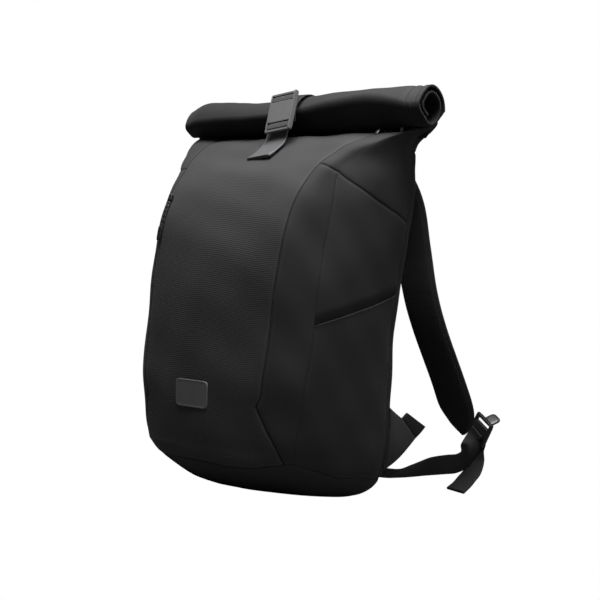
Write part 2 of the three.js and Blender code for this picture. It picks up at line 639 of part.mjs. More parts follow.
// A strip carried along a path of places, with its width along a given direction at each place: swing is
// its turn about +Z from +X, and tilt its rise above level, both in degrees
function strip(rows, count) {
  const shares = rows.map((_, i) => i / (rows.length - 1));
  const value = (name, t) => smooth(shares, rows.map((row) => row[name]), t);
  const centre = (t) => new THREE.Vector3(value('x', t), value('y', t), value('z', t));
  const outer = [];
  const inner = [];
  steps(count).forEach((t) => {
    const ahead = centre(Math.min(t + PATH_STEP, 1)).sub(centre(Math.max(t - PATH_STEP, 0))).normalize();
    const swing = THREE.MathUtils.degToRad(value('swing', t));
    const tilt = THREE.MathUtils.degToRad(value('tilt', t));
    const wide = new THREE.Vector3(Math.cos(swing) * Math.cos(tilt), Math.sin(swing) * Math.cos(tilt),
      Math.sin(tilt));
    wide.addScaledVector(ahead, -wide.dot(ahead)).normalize();
    const face = new THREE.Vector3().crossVectors(wide, ahead).normalize();
    const half = value('width', t) / 2;
    const deep = value('thick', t) / 2;
    const round = Math.min(deep, half / 2);
    const across = [-half, round - half, 0, half - round, half];
    const depth = [deep * EDGE_SHARE, deep, deep, deep, deep * EDGE_SHARE];
    const at = (w, d) => centre(t).addScaledVector(wide, w).addScaledVector(face, d);
    outer.push(across.map((w, k) => at(w, depth[k])));
    inner.push(across.map((w, k) => at(w, -depth[k])));
  });
  return shell(outer, inner);
}

// The roll's outer face at a turn from the back of the roll, in degrees, up over the top. along runs from
// -1 to 1 along the roll, and out moves the point off the face.
function rollPoint(turn, along, out = 0) {
  const angle = THREE.MathUtils.degToRad(turn);
  const radius = ROLL_RADIUS - ROLL_PITCH * (turn / 360) + out;
  const depth = shapeAt('depth', along);
  const y = ROLL_CENTRE_Y + radius * Math.cos(angle) * depth;
  const z = rollFoot + (rollCentreZ - rollFoot + radius * Math.sin(angle)) * shapeAt('height', along);
  return new THREE.Vector3(ROLL_MIDDLE_X + along * ROLL_LENGTH / 2, y, z);
}

function shapeAt(name, along) {
  return smooth(ROLL_SHAPE.map((row) => row.along), ROLL_SHAPE.map((row) => row[name]), along);
}
const rollFoot = BODY_HEIGHT + ROLL_CLEARANCE;
const rollCentreZ = rollFoot + ROLL_RADIUS - ROLL_LOWEST_TURN * ROLL_PITCH;

// Rolled top: a sheet wound from the back of the neck over the top and round into the roll
function rollTop() {
  const turns = steps(ROLL_STEPS).map((t) => t * ROLL_TURNS * 360).reverse();
  const outer = [];
  const inner = [];
  turns.forEach((turn) => {
    outer.push(ROLL_COLUMNS.map((along) => rollPoint(turn, along)));
    inner.push(ROLL_COLUMNS.map((along) => rollPoint(turn, along, -ROLL_SHEET)));
  });
  const neckBack = skinPoint(GUIDE.spine, 1).y;
  const hang = (along, inset) => new THREE.Vector3(ROLL_MIDDLE_X + along * ROLL_LENGTH / 2,
    ROLL_CENTRE_Y + (neckBack - inset - ROLL_CENTRE_Y) * shapeAt('depth', along), rollFoot);
  outer.push(ROLL_COLUMNS.map((along) => hang(along, 0)));
  inner.push(ROLL_COLUMNS.map((along) => hang(along, ROLL_SHEET)));
  return shell(outer, inner);
}

const flat = { swing: 0, tilt: 0 };
const strapAlong = -2 * ROLL_MIDDLE_X / ROLL_LENGTH;

// Closure strap: webbing from the yoke, up behind the roll, over it and down behind the buckle
function closureStrap() {
  const off = STRAP_OFF + CLOSURE_THICK / 2;
  const size = { ...flat, x: 0, width: CLOSURE_WIDTH, thick: CLOSURE_THICK };
  const onYoke = (level) => {
    const point = skinPoint(GUIDE.spine, level).addScaledVector(skinNormal(GUIDE.spine, level), off);
    return { ...size, y: point.y, z: point.z };
  };
  const onRoll = (turn) => {
    const point = rollPoint(turn, strapAlong, off);
    return { ...size, y: point.y, z: point.z };
  };
  const front = onRoll(STRAP_TURNS[0]);
  return strip([
    { ...front, z: front.z - CLOSURE_DROP }, { ...front, z: front.z - CLOSURE_DROP / 2 },
    ...STRAP_TURNS.map(onRoll), ...STRAP_LEVELS.map(onYoke),
  ], STRIP_STEPS.closure);
}

// Rounded plate with slots across it, in the XZ plane with its front face towards -Y
function slottedPlate(width, height, thick, corner, slots) {
  const shape = new THREE.Shape();
  const w = width / 2;
  const h = height / 2;
  shape.moveTo(corner - w, -h);
  shape.lineTo(w - corner, -h);
  shape.absarc(w - corner, corner - h, corner, -Math.PI / 2, 0, false);
  shape.lineTo(w, h - corner);
  shape.absarc(w - corner, h - corner, corner, 0, Math.PI / 2, false);
  shape.lineTo(corner - w, h);
  shape.absarc(corner - w, h - corner, corner, Math.PI / 2, Math.PI, false);
  shape.lineTo(-w, corner - h);
  shape.absarc(corner - w, corner - h, corner, Math.PI, 1.5 * Math.PI, false);
  slots.forEach(({ middle, tall, wide }) => {
    const hole = new THREE.Path();
    hole.moveTo(-wide / 2, middle - tall / 2);
    hole.lineTo(-wide / 2, middle + tall / 2);
    hole.lineTo(wide / 2, middle + tall / 2);
    hole.lineTo(wide / 2, middle - tall / 2);
    hole.closePath();
    shape.holes.push(hole);
  });
  const geometry = new THREE.ExtrudeGeometry(shape, { depth: thick, bevelEnabled: false, curveSegments: 4 });
  geometry.rotateX(Math.PI / 2);
  geometry.translate(0, thick, 0);
  const positions = Array.from(geometry.attributes.position.array);
  return closed(positions, Array.from({ length: positions.length / 3 }, (_, i) => i));
}

// Closure buckle: a plate in front of the roll with a slot under its upper bar and over its lower bar
function closureBuckle() {
  const slot = { tall: BUCKLE_SLOT, wide: BUCKLE_WIDTH - 2 * BUCKLE_RAIL };
  const reach = BUCKLE_HEIGHT / 2 - BUCKLE_BAR - BUCKLE_SLOT / 2;
  return slottedPlate(BUCKLE_WIDTH, BUCKLE_HEIGHT, BUCKLE_THICK, BUCKLE_CORNER,
    [{ ...slot, middle: reach }, { ...slot, middle: -reach }]);
}

const strapFront = rollPoint(STRAP_TURNS[0], strapAlong, STRAP_OFF + CLOSURE_THICK);
const buckleBack = strapFront.y - PIECE_GAP;

// Strap tail: from behind the lower bar down on to the front panel, with a thick folded end
function strapTail() {
  const size = { ...flat, x: 0, width: CLOSURE_WIDTH, thick: CLOSURE_THICK };
  const start = { y: strapFront.y + CLOSURE_THICK / 2, z: strapFront.z - CLOSURE_DROP - 1 };
  const rests = TAIL_REST.map(({ level, thick }) => {
    const point = skinPoint(0, level).addScaledVector(skinNormal(0, level), REST_OFF + thick / 2);
    return { ...size, y: point.y, z: point.z, thick };
  });
  const hangs = TAIL_HANG.map(({ out, down }) =>
    ({ ...size, y: lerp(start.y, rests[0].y, out), z: lerp(start.z, rests[0].z, down) }));
  return strip([...hangs, ...rests], STRIP_STEPS.tail);
}

// Zip pull: a tab lying on the skin from one place to another
function zipPull(from, to, width) {
  const rows = steps(STRIP_STEPS.pull - 1).map((t) => {
    const round = lerp(from.round, to.round, t);
    const level = lerp(from.level, to.level, t);
    const off = REST_OFF + PULL_THICK / 2;
    const point = skinPoint(round, level).addScaledVector(skinNormal(round, level), off);
    const ahead = skinPoint(round + ROUND_STEP, level).sub(skinPoint(round - ROUND_STEP, level));
    return { x: point.x, y: point.y, z: point.z, width, thick: PULL_THICK,
      swing: THREE.MathUtils.radToDeg(Math.atan2(ahead.y, ahead.x)), tilt: 0 };
  });
  return strip(rows, STRIP_STEPS.pull);
}

// Right shoulder strap: a padded strap bowed out behind the back panel, narrowing to its buckle
function shoulderStrap() {
  const top = skinPoint(PAD_TOP.round, PAD_TOP.level);
  const rows = PAD_PATH.map(placed).map((row) => ({ ...flat, ...row, width: row.share * PAD_WIDTH }));
  const root = { ...rows[0], y: top.y + PAD_TOP.off, z: top.z };
  return strip([root, ...rows].map((row) => ({ ...row, thick: PAD_THICK })), STRIP_STEPS.pad);
}

// The buckle's own directions: along its bars, out of its inner face, and up its rails
const lockSwing = THREE.MathUtils.degToRad(LOCK_SWING);
const lockTilt = THREE.MathUtils.degToRad(LOCK_TILT);
const lockWide = new THREE.Vector3(Math.cos(lockSwing) * Math.cos(lockTilt),
  Math.sin(lockSwing) * Math.cos(lockTilt), Math.sin(lockTilt));
const lockFace = new THREE.Vector3(-Math.sin(lockSwing), Math.cos(lockSwing), 0);
const lockRise = lockWide.clone().cross(lockFace);

// A row of a strip off the buckle's inner face and up its rails from the middle, turned as the buckle is
function offLock(distance, up, tilt = LOCK_TILT) {
  const { x, y, z } = new THREE.Vector3(LOCK.x, LOCK.y, LOCK.z).addScaledVector(lockFace, distance)
    .addScaledVector(lockRise, up);
  return { x, y, z, swing: LOCK_SWING, tilt };
}

// Right buckle at the strap's end: a ladder of two slots
function ladderLock() {
  const slot = { tall: LOCK_SLOT, wide: WEBBING_WIDTH + 1 };
  const reach = LOCK_LENGTH / 2 - LOCK_BAR - LOCK_SLOT / 2;
  const plate = slottedPlate(LOCK_WIDTH, LOCK_LENGTH, LOCK_THICK, LOCK_CORNER,
    [{ ...slot, middle: reach }, { ...slot, middle: -reach }]);
  plate.rotateY(-lockTilt);
  plate.rotateZ(lockSwing);
  plate.translate(LOCK.x, LOCK.y, LOCK.z);
  return plate;
}

// Right lever: a tab standing up and back from the top of the buckle
function lockLever() {
  const seat = LOCK_THICK + LOCK_BAR / 2 - LEVER_SEAT;
  const foot = LOCK_LENGTH / 2 - LOCK_BAR;
  return strip(LEVER_SHAPE.map(({ out, up, share }) =>
    ({ ...offLock(seat + LEVER_LENGTH * out, foot + LEVER_LENGTH * up), width: LEVER_WIDTH * share,
      thick: LOCK_BAR })), STRIP_STEPS.lever);
}

function webbingRows(rows) {
  return rows.map((row) => ({ ...row, width: WEBBING_WIDTH, thick: WEBBING_THICK }));
}

// Right adjuster webbing: from the foot of the back panel out to the buckle, turning on edge on its way and
// then right over, so that its upper edge becomes its left one
function adjusterWebbing() {
  const foot = skinPoint(ADJUSTER_FOOT.round, ADJUSTER_FOOT.level);
  const under = -ADJUSTER_END.under - WEBBING_THICK / 2;
  const over = LOCK_TILT + HALF_TURN;
  return strip(webbingRows([
    { x: foot.x, y: foot.y + ADJUSTER_FOOT.off, z: foot.z, swing: 0, tilt: ADJUSTER_FOOT.tilt },
    ...ADJUSTER_PATH.map(placed),
    offLock(under, LOCK_BAR - LOCK_LENGTH / 2, over - ADJUSTER_END.tilt),
    offLock(under, -ADJUSTER_END.past, over),
  ]), STRIP_STEPS.adjuster);
}

// Right webbing tail: over the back of the buckle, then hanging down and in to its folded end
function webbingTail() {
  const over = LOCK_THICK + HANGING_START.over + WEBBING_THICK / 2;
  return strip(webbingRows([
    offLock(over, 0),
    offLock(over, -LOCK_LENGTH / 2),
    ...HANGING_PATH.map(placed),
  ]), STRIP_STEPS.hanging);
}

const wingTip = (tip) => {
  const { x, y, z } = placed(tip);
  return new THREE.Vector3(x, y, z);
};
const wingLow = wingTip(WING.low);
const wingHigh = wingTip(WING.high);

// Right wing: a triangle of cloth sewn into the back edge above the foot, cut off at its tip
function wing() {
  const outer = [];
  const inner = [];
  const half = new THREE.Vector3(WING_THICK / 2, 0, 0);
  steps(WING_ROWS).forEach((up) => {
    const level = lerp(WING.foot, WING.head, up);
    const root = skinPoint(WING.round, level);
    root.addScaledVector(skinNormal(WING.round, level), PIECE_GAP + WING_THICK / 2);
    const tip = wingLow.clone().lerp(wingHigh, up);
    const row = steps(WING_COLUMNS).map((t) => root.clone().lerp(tip, t));
    outer.push(row.map((p) => p.clone().add(half)));
    inner.push(row.map((p) => p.clone().sub(half)));
  });
  return shell(outer, inner);
}

// Right wing loop: a stub of flat cloth sewn along the wing's cut tip, drooping a little
function wingLoop() {
  const half = new THREE.Vector3(WEBBING_THICK / 2, 0, 0);
  const rows = steps(LOOP_ROWS).map((up) => {
    const end = wingTip(WING_LOOP.low).lerp(wingTip(WING_LOOP.high), up);
    const seat = wingLow.clone().lerp(wingHigh, up);
    const start = seat.clone().addScaledVector(end.clone().sub(seat).normalize(), PIECE_GAP);
    return steps(LOOP_COLUMNS).map((t) => start.clone().lerp(end, t));
  });
  return shell(rows.map((row) => row.map((p) => p.clone().add(half))),
    rows.map((row) => row.map((p) => p.clone().sub(half))));
}

// Mirrors a solid to the left side, with its faces turned to point out again
function mirrored(geometry) {
  const copy = geometry.clone();
  copy.scale(-1, 1, 1);
  const index = copy.index.array;
  for (let i = 0; i < index.length; i += 3) {
    const kept = index[i + 1];
    index[i + 1] = index[i + 2];
    index[i + 2] = kept;
  }
  copy.computeVertexNormals();
  return copy;
}

function mesh(name, geometry, finish) {
  const node = new THREE.Mesh(geometry, finish);
  node.name = name;
  return node;
}

const bag = new THREE.Group();
bag.add(mesh('front_panel', frontPanel(), ripstop));
bag.add(mesh('base_panel', basePanel(), twill));
bag.add(mesh('back_panel', backPiece(0, yokeStart, BACK_PADDING), mesh3d));
bag.add(mesh('back_yoke', backPiece(yokeStart, edgeRows.length - 1, WALL), twill));
[['right', 1], ['left', -1]].forEach(([side, sign]) => {
  bag.add(mesh(`corner_panel_${side}`, cornerPanel(sign), twill));
  bag.add(mesh(`side_panel_${side}`, sidePanel(sign), twill));
  bag.add(mesh(`side_pocket_${side}`, sidePocket(sign), twill));
  bag.add(mesh(`shoulder_panel_${side}`, shoulderPanel(sign), twill));
});
bag.add(mesh('roll_top', rollTop(), twill));
bag.add(mesh('closure_strap', closureStrap(), webbing));
bag.add(mesh('strap_tail', strapTail(), webbing));
bag.add(mesh('label_patch', labelPatch(), rubber));

const buckle = mesh('closure_buckle', closureBuckle(), plastic);
buckle.position.set(0, buckleBack - BUCKLE_THICK, strapFront.z);
bag.add(buckle);

PULLS.forEach(({ name, from, to, width }) => {
  bag.add(mesh(`zip_pull_${name}`, zipPull(from, to, width), plastic));
});

[['right', (g) => g], ['left', mirrored]].forEach(([side, turn]) => {
  bag.add(mesh(`shoulder_strap_${side}`, turn(shoulderStrap()), mesh3d));
  bag.add(mesh(`ladder_lock_${side}`, turn(ladderLock()), plastic));
  bag.add(mesh(`lock_lever_${side}`, turn(lockLever()), plastic));
  bag.add(mesh(`adjuster_webbing_${side}`, turn(adjusterWebbing()), webbing));
  bag.add(mesh(`webbing_tail_${side}`, turn(webbingTail()), webbing));
  bag.add(mesh(`wing_${side}`, turn(wing()), twill));
  bag.add(mesh(`wing_loop_${side}`, turn(wingLoop()), webbing));
});

export default bag;
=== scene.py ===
# %% [markdown]
# A rolltop backpack in black cloth.
# The bag is sewn from flat panels, so this lesson builds it the same way: one smooth skin is worked out
# first, and each panel is a patch of that skin with its own edges, thickness and weave. The roll, the
# straps and the small hard parts follow. All shapes are computed as whole arrays with numpy.

# %% Load the frame
import math

import bmesh
import bpy
import numpy as np
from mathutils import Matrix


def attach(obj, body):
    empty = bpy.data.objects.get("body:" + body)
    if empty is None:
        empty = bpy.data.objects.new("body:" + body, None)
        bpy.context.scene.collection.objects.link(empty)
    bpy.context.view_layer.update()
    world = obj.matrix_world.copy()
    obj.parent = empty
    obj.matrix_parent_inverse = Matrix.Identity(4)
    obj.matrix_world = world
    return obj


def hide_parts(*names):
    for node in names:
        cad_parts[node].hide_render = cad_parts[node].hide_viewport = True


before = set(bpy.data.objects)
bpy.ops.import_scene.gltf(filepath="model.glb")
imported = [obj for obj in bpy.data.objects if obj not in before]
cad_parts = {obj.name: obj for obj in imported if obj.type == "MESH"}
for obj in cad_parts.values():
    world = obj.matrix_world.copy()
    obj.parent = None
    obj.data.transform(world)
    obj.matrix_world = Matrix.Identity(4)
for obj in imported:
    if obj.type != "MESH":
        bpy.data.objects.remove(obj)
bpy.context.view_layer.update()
MM = 0.001

# %% [markdown]
# The camera stands to the right of the bag's front, a little above the floor. Its place and its
# direction are kept as three axes, because a matrix made of them needs no angles.

# %% Camera
CAMERA_PLACE = np.array([1016.7, -1060.6, 172.7]) * MM
CAMERA_RIGHT = (0.7431, 0.6626, 0.0931)
CAMERA_UP = (-0.0497, -0.0841, 0.9952)
CAMERA_BACK = (0.6673, -0.7442, -0.0296)
LENS = 76.35


def make_camera():
    """A camera whose axes are right, up and back, at its place."""
    data = bpy.data.cameras.new("camera")
    data.lens = LENS
    data.sensor_width = 36
    data.clip_start = 0.05
    eye = bpy.data.objects.new("camera", data)
    bpy.context.collection.objects.link(eye)
    matrix = np.eye(4)
    matrix[:3, 0] = CAMERA_RIGHT
    matrix[:3, 1] = CAMERA_UP
    matrix[:3, 2] = CAMERA_BACK
    matrix[:3, 3] = CAMERA_PLACE
    eye.matrix_world = matrix.T.tolist()
    bpy.context.scene.camera = eye
    return eye


camera = make_camera()
print("camera", [round(v, 3) for v in camera.location])

# %% [markdown]
# The skin. A bag has no simple formula, so its shape comes from a few level cross-sections, like the
# frames of a boat. Each section names the same guide points: the middle of the front, the front seam, the
# ridge of the front corner, the middle of the side, the back edge and the back. A smooth curve through
# the guides gives any point of the skin from two numbers: round, which runs from the middle of the front
# to the middle of the back, and level, the share of the height. Two small changes are laid over it: the
# left foot is tucked in, and the neck flares a few millimetres under the roll, by a table for each side.

# %% Sizes and sections of the body, in millimetres
HEIGHT = 412
HALF_WIDTH = 150
DEPTH = 175
BACK_PLANE = 82
SEAM, RIDGE, SIDE, EDGE, SPINE = 1, 1.45, 2, 2.55, 4.15
KNOTS = np.array([-0.5, 0, 0.5, SEAM, RIDGE, SIDE, EDGE, 2.67, 2.78, 3.5, SPINE, 4.8])
SECTION_NAMES = ("level", "front_y", "seam_x", "seam_y", "ridge_x", "ridge_y", "side_x", "side_y",
                 "edge_x", "edge_y", "back_y")
SECTIONS = np.array([
    (0, 0.657, 0.333, 0.629, 0.573, 0.503, 0.72, 0.326, 0.747, 0.137, 0.069),
    (0.01, 0.743, 0.387, 0.697, 0.627, 0.56, 0.78, 0.354, 0.82, 0.114, 0.034),
    (0.032, 0.834, 0.453, 0.766, 0.673, 0.623, 0.847, 0.377, 0.907, 0.097, 0.017),
    (0.066, 0.909, 0.533, 0.829, 0.713, 0.686, 0.913, 0.4, 0.973, 0.091, 0.006),
    (0.121, 0.943, 0.593, 0.849, 0.773, 0.717, 0.953, 0.406, 1.007, 0.091, 0),
    (0.206, 0.974, 0.62, 0.88, 0.82, 0.726, 0.973, 0.411, 1.007, 0.091, 0),
    (0.279, 0.991, 0.633, 0.906, 0.847, 0.743, 0.98, 0.411, 0.993, 0.091, 0),
    (0.388, 0.991, 0.65, 0.897, 0.863, 0.726, 0.983, 0.411, 0.98, 0.091, 0),
    (0.522, 0.986, 0.667, 0.894, 0.867, 0.723, 0.987, 0.411, 0.98, 0.091, 0),
    (0.68, 0.934, 0.673, 0.88, 0.86, 0.686, 0.987, 0.4, 1.013, 0.091, -0.006),
    (0.777, 0.846, 0.68, 0.817, 0.853, 0.646, 0.987, 0.383, 1.033, 0.086, -0.017),
    (0.854, 0.729, 0.707, 0.706, 0.827, 0.6, 0.993, 0.354, 1.04, 0.08, -0.017),
    (0.913, 0.546, 0.753, 0.569, 0.893, 0.474, 1.013, 0.286, 1.033, 0.086, -0.006),
    (0.951, 0.434, 0.8, 0.455, 0.98, 0.4, 1.06, 0.24, 1.05, 0.091, 0.017),
    (0.981, 0.32, 0.84, 0.314, 1.05, 0.286, 1.12, 0.211, 1.12, 0.103, 0.046),
    (1, 0.143, 0.92, 0.143, 1.12, 0.143, 1.22, 0.137, 1.253, 0.123, 0.091),
])
QUARTER_SHARE, BACK_FLAT = 0.25, 0.45
CORNER_IN, CORNER_BACK, TURN_IN = 0.22, 0.72, 0.86
TUCK_LEVEL, TUCK_WIDTH, TUCK_DEPTH = 0.1, 0.2, 18
FLARE_NAMES = ("level", "right_out", "right_up", "left_out", "left_up")
FLARE = np.array([
    (0.5, 0, 0, 0, 0), (0.82, 0, 0, 0, 0), (0.86, 0, 0, 2, 0), (0.9, 0, 0, 8, 0), (0.93, -1, 2, 8, 0),
    (0.96, -3, 5, 6, 1), (0.98, -1, 4.5, 6, 2), (0.99, 0.5, 5, 4, 4), (1, 0, 10, 0, 8),
], float)
FLARE_LEFT_PLACE, FLARE_LEFT_WIDTH = 0.8, 0.4


def smooth(knots, values, t):
    """Curve through the values at uneven knots: a cubic on each span, whose slope at a knot is the mean of
    the two spans' slopes, each weighted by the other span's length. values has one column for each curve."""
    t = np.asarray(t, float)
    span = np.diff(knots)[:, None]
    rise = np.diff(values, axis=0) / span
    middle = (rise[:-1] * span[1:] + rise[1:] * span[:-1]) / (span[:-1] + span[1:])
    slope = np.vstack([rise[:1], middle, rise[-1:]])
    i = np.clip(np.searchsorted(knots, t) - 1, 0, len(knots) - 2)
    h = span[i]
    s = np.clip((t[..., None] - knots[i][..., None]) / h, 0, 1)
    blend = s * s * (3 - 2 * s)
    bend = h * s * (1 - s) * ((1 - s) * slope[i] - s * slope[i + 1])
    return values[i] * (1 - blend) + values[i + 1] * blend + bend


GIRTH = np.concatenate([[0], np.cumsum(np.sqrt(
    (np.diff(SECTIONS[:, 0]) * HEIGHT) ** 2 + (np.diff(SECTIONS[:, 4]) * HALF_WIDTH) ** 2
    + (np.diff(SECTIONS[:, 1]) * DEPTH) ** 2))])
FINE_GIRTH = np.linspace(0, GIRTH[-1], 4000)
FINE_LEVEL = smooth(GIRTH, SECTIONS, FINE_GIRTH)[:, 0]


def guide_points(level):
    """x and y of the guide points at each level, as two arrays with one column for each guide."""
    row = smooth(GIRTH, SECTIONS, np.interp(level, FINE_LEVEL, FINE_GIRTH))
    at = dict(zip(SECTION_NAMES, np.moveaxis(row, -1, 0)))
    x = {name[:-2]: value * HALF_WIDTH for name, value in at.items() if name.endswith("_x")}
    y = {name[:-2]: BACK_PLANE - value * DEPTH for name, value in at.items() if name.endswith("_y")}
    none = np.zeros_like(at["level"])
    bend = y["back"] - y["edge"]
    quarter = y["front"] + (y["seam"] - y["front"]) * QUARTER_SHARE
    gx = [-x["seam"] / 2, none, x["seam"] / 2, x["seam"], x["ridge"], x["side"], x["edge"],
          x["edge"] - bend * CORNER_IN, x["edge"] - bend * TURN_IN, x["edge"] * BACK_FLAT, none,
          -x["edge"] * BACK_FLAT]
    gy = [quarter, y["front"], quarter, y["seam"], y["ridge"], y["side"], y["edge"],
          y["edge"] + bend * CORNER_BACK, y["back"], y["back"], y["back"], y["back"]]
    return np.stack(gx, -1), np.stack(gy, -1)


def skin(place, level):
    """Points of the skin in millimetres. place is the place round the section, negative on the left half."""
    place, level = np.broadcast_arrays(np.asarray(place, float), np.asarray(level, float))
    level = np.clip(level, 0, 1)
    shape = place.shape
    gx, gy = guide_points(level.ravel())
    half = np.abs(place.ravel())
    i = np.clip(np.searchsorted(KNOTS, half) - 1, 1, len(KNOTS) - 3)
    n = np.arange(len(half))
    before, width, after = KNOTS[i] - KNOTS[i - 1], KNOTS[i + 1] - KNOTS[i], KNOTS[i + 2] - KNOTS[i + 1]
    s = (half - KNOTS[i]) / width
    blend = s * s * (3 - 2 * s)

    def along(guides):
        a, b, c, d = guides[n, i - 1], guides[n, i], guides[n, i + 1], guides[n, i + 2]
        start = ((b - a) / before * width + (c - b) / width * before) / (before + width)
        end = ((c - b) / width * after + (d - c) / after * width) / (width + after)
        return b * (1 - blend) + c * blend + width * s * (1 - s) * ((1 - s) * start - s * end)

    x, y = along(gx), along(gy)
    on_left, height = place.ravel() < 0, level.ravel()
    low = np.clip(1 - height / TUCK_LEVEL, 0, 1)
    beside = np.clip(half / SEAM, 0, 1) * np.clip((SPINE - half) / (SPINE - EDGE), 0, 1)
    drawn = np.where(on_left, low * beside, 0)
    ahead = (BACK_PLANE - y) / DEPTH
    x = np.where(on_left, -1, 1) * x * (1 - TUCK_WIDTH * drawn)
    flare = dict(zip(FLARE_NAMES[1:], smooth(FLARE[:, 0], FLARE[:, 1:], height).T))
    behind = np.clip(SPINE - half, 0, 1)
    right = np.clip((half - SEAM) / (SIDE - SEAM), 0, 1) * behind
    left = np.clip((half - FLARE_LEFT_PLACE) / FLARE_LEFT_WIDTH, 0, 1) * behind
    x = x + np.where(on_left, -flare["left_out"] * left, flare["right_out"] * right)
    up = np.where(on_left, flare["left_up"] * left, flare["right_up"] * right)
    points = np.stack([x, y + TUCK_DEPTH * drawn * ahead, height * HEIGHT + up], -1)
    return points.reshape(shape + (3,))


def unit(vectors):
    """The same vectors, one long."""
    return vectors / np.maximum(np.linalg.norm(vectors, axis=-1, keepdims=True), 1e-9)


def skin_normal(place, level):
    """Outward direction: the cross product of the ways round and up the skin."""
    step, rise = 0.004, 0.002
    level = np.clip(level, rise, 1 - rise)
    way_round = skin(place + step, level) - skin(place - step, level)
    way_up = skin(place, level + rise) - skin(place, level - rise)
    return unit(np.cross(way_round, way_up))


print("front middle", skin(0, 0.5), "back edge", skin(EDGE, 0.5))

# %% [markdown]
# Seams. Each seam is a line across or up the skin. The front seams run down from the neck, step in at a
# kink low on the bag, and slant to the foot of the ridge. Short tables hold where they lie, and straight
# lines or a soft curve join the rows.

# %% Seam lines
BASE_SEAM = ((0, 0.067), (0.5, 0.064), (SEAM, 0.066), (RIDGE, 0.09), (SIDE, 0.058), (SPINE, 0.058))
SHOULDER_SEAM = ((SEAM, 0.88), (RIDGE, 0.861), (SIDE, 0.803), (EDGE, 0.757))
POCKET_MOUTH = ((RIDGE, 0.452), (SIDE, 0.507), (EDGE, 0.558))
FRONT_SEAM = ((0.085, 0.88), (0.11, 0.62), (0.165, 0.15), (0.229, -0.2), (0.257, -0.06), (0.35, -0.06),
              (0.52, -0.1), (0.66, -0.04), (0.8, -0.04), (0.86, -0.1), (1, -0.1))
FOOT_LEVEL, FIRST_ROW, TOP_ROW = 0.085, 0.11, 0.88
YOKE_LEVEL = 0.943
KINK_LEVEL, KINK_SHARP, SEAM_SPREAD = 0.229, 0.014, 0.012
SEAM_GAP = 0.1
WALL = 2


def line(table, at):
    """Straight lines between the rows (place, value) of a table."""
    places, values = np.array(table).T
    return np.interp(np.abs(at), places, values)


def bell(distance, width):
    """A bell curve: 1 at no distance, and almost 0 beyond twice the width."""
    return np.exp(-(distance / width) ** 2)


def front_seam(level):
    """Place of the front seam round the section, softened over a few millimetres except at the kink."""
    share = sum(line(FRONT_SEAM, level + d * SEAM_SPREAD) for d in (-1, -0.5, 0, 0.5, 1)) / 5
    sharp = bell(level - KINK_LEVEL, KINK_SHARP)
    share = share * (1 - sharp) + line(FRONT_SEAM, level) * sharp
    return SEAM + (RIDGE - SEAM) * share


def mix(a, b, t):
    """t of the way from a to b."""
    return a + (b - a) * t


def dense(count, crowd=0.85):
    """Shares from 0 to 1, crowded towards both ends by a sine, so that seams get fine facets."""
    t = np.linspace(0, 1, count)
    return t - crowd * np.sin(2 * np.pi * t) / (2 * np.pi)


# %% [markdown]
# From grid to mesh. A cloth panel is a closed wall: an outer grid of points, the same grid moved in by the
# cloth's thickness, and a rim that joins the two. The panel's own UV map holds millimetres of cloth, so a
# weave keeps its true size however the panel is shaped.

# %% Mesh helpers


def arc_lengths(grid, axis):
    """Running length along one axis of a grid, in the grid's unit, starting at 0."""
    steps = np.linalg.norm(np.diff(grid, axis=axis), axis=-1)
    run = np.cumsum(steps, axis=axis)
    start = np.zeros_like(np.take(run, [0], axis=axis))
    return np.concatenate([start, run], axis=axis)


def quads(rows, columns, start=0, flip=False):
    """Corner numbers of the quads of a grid, anticlockwise, or clockwise with flip."""
    i, j = np.meshgrid(np.arange(rows - 1), np.arange(columns - 1), indexing="ij")
    a = (start + i * columns + j).ravel()
    order = (a, a + 1, a + columns + 1, a + columns)
    return np.stack(order[::-1] if flip else order, -1)


def rim(outer, inner):
    """Quads between two rows of corner numbers."""
    return np.stack([outer[1:], outer[:-1], inner[:-1], inner[1:]], -1)


WELD = 2e-6


def close_up(mesh):
    """Merges the doubled points of seams and poles, and turns a closed mesh that is inside out."""
    work = bmesh.new()
    work.from_mesh(mesh)
    bmesh.ops.remove_doubles(work, verts=work.verts, dist=WELD)
    if work.calc_volume(signed=True) < 0:
        bmesh.ops.reverse_faces(work, faces=work.faces)
    work.to_mesh(mesh)
    work.free()


def mesh_object(name, points, faces, uv, material, painted_seam_shading=None):
    """A smooth closed mesh in metres, riding on the bag, whose UV map holds millimetres of cloth. The last
    argument is painted seam shade and highlight: a share by which each point of the cloth is painted paler
    as a highlight, or painted darker as shade where it is below zero."""
    mesh = bpy.data.meshes.new(name)
    mesh.from_pydata((points * MM).tolist(), [], faces.tolist())
    layer = mesh.uv_layers.new(name="cloth")
    corners = np.empty(len(mesh.loops), int)
    mesh.loops.foreach_get("vertex_index", corners)
    layer.data.foreach_set("uv", uv[corners].astype(np.float32).ravel())
    # Painted seam shade and highlight for each point, read by the cloth materials.
    if painted_seam_shading is not None:
        mesh.attributes.new("painted_seam_shading", "FLOAT", "POINT").data.foreach_set("value", painted_seam_shading.astype(np.float32))
    close_up(mesh)
    mesh.shade_smooth()
    mesh.materials.append(material)
    piece = bpy.data.objects.new(name, mesh)
    bpy.context.collection.objects.link(piece)
    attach(piece, "root")
    return piece


def wall(outer, thickness, normal, uv, looped=False):
    """Points, faces and UVs of a closed wall under an outer grid, along its normals."""
    rows, columns = outer.shape[:2]
    inner = outer - normal * thickness
    count = rows * columns
    points = np.concatenate([outer.reshape(-1, 3), inner.reshape(-1, 3)])
    number = np.arange(count).reshape(rows, columns)
    parts = [quads(rows, columns), quads(rows, columns, count, True), rim(number[0], number[0] + count),
             rim(number[-1][::-1], number[-1][::-1] + count)]
    if not looped:
        parts.append(rim(number[::-1, 0], number[::-1, 0] + count))
        parts.append(rim(number[:, -1], number[:, -1] + count))
    return points, np.concatenate(parts), np.concatenate([uv.reshape(-1, 2)] * 2)


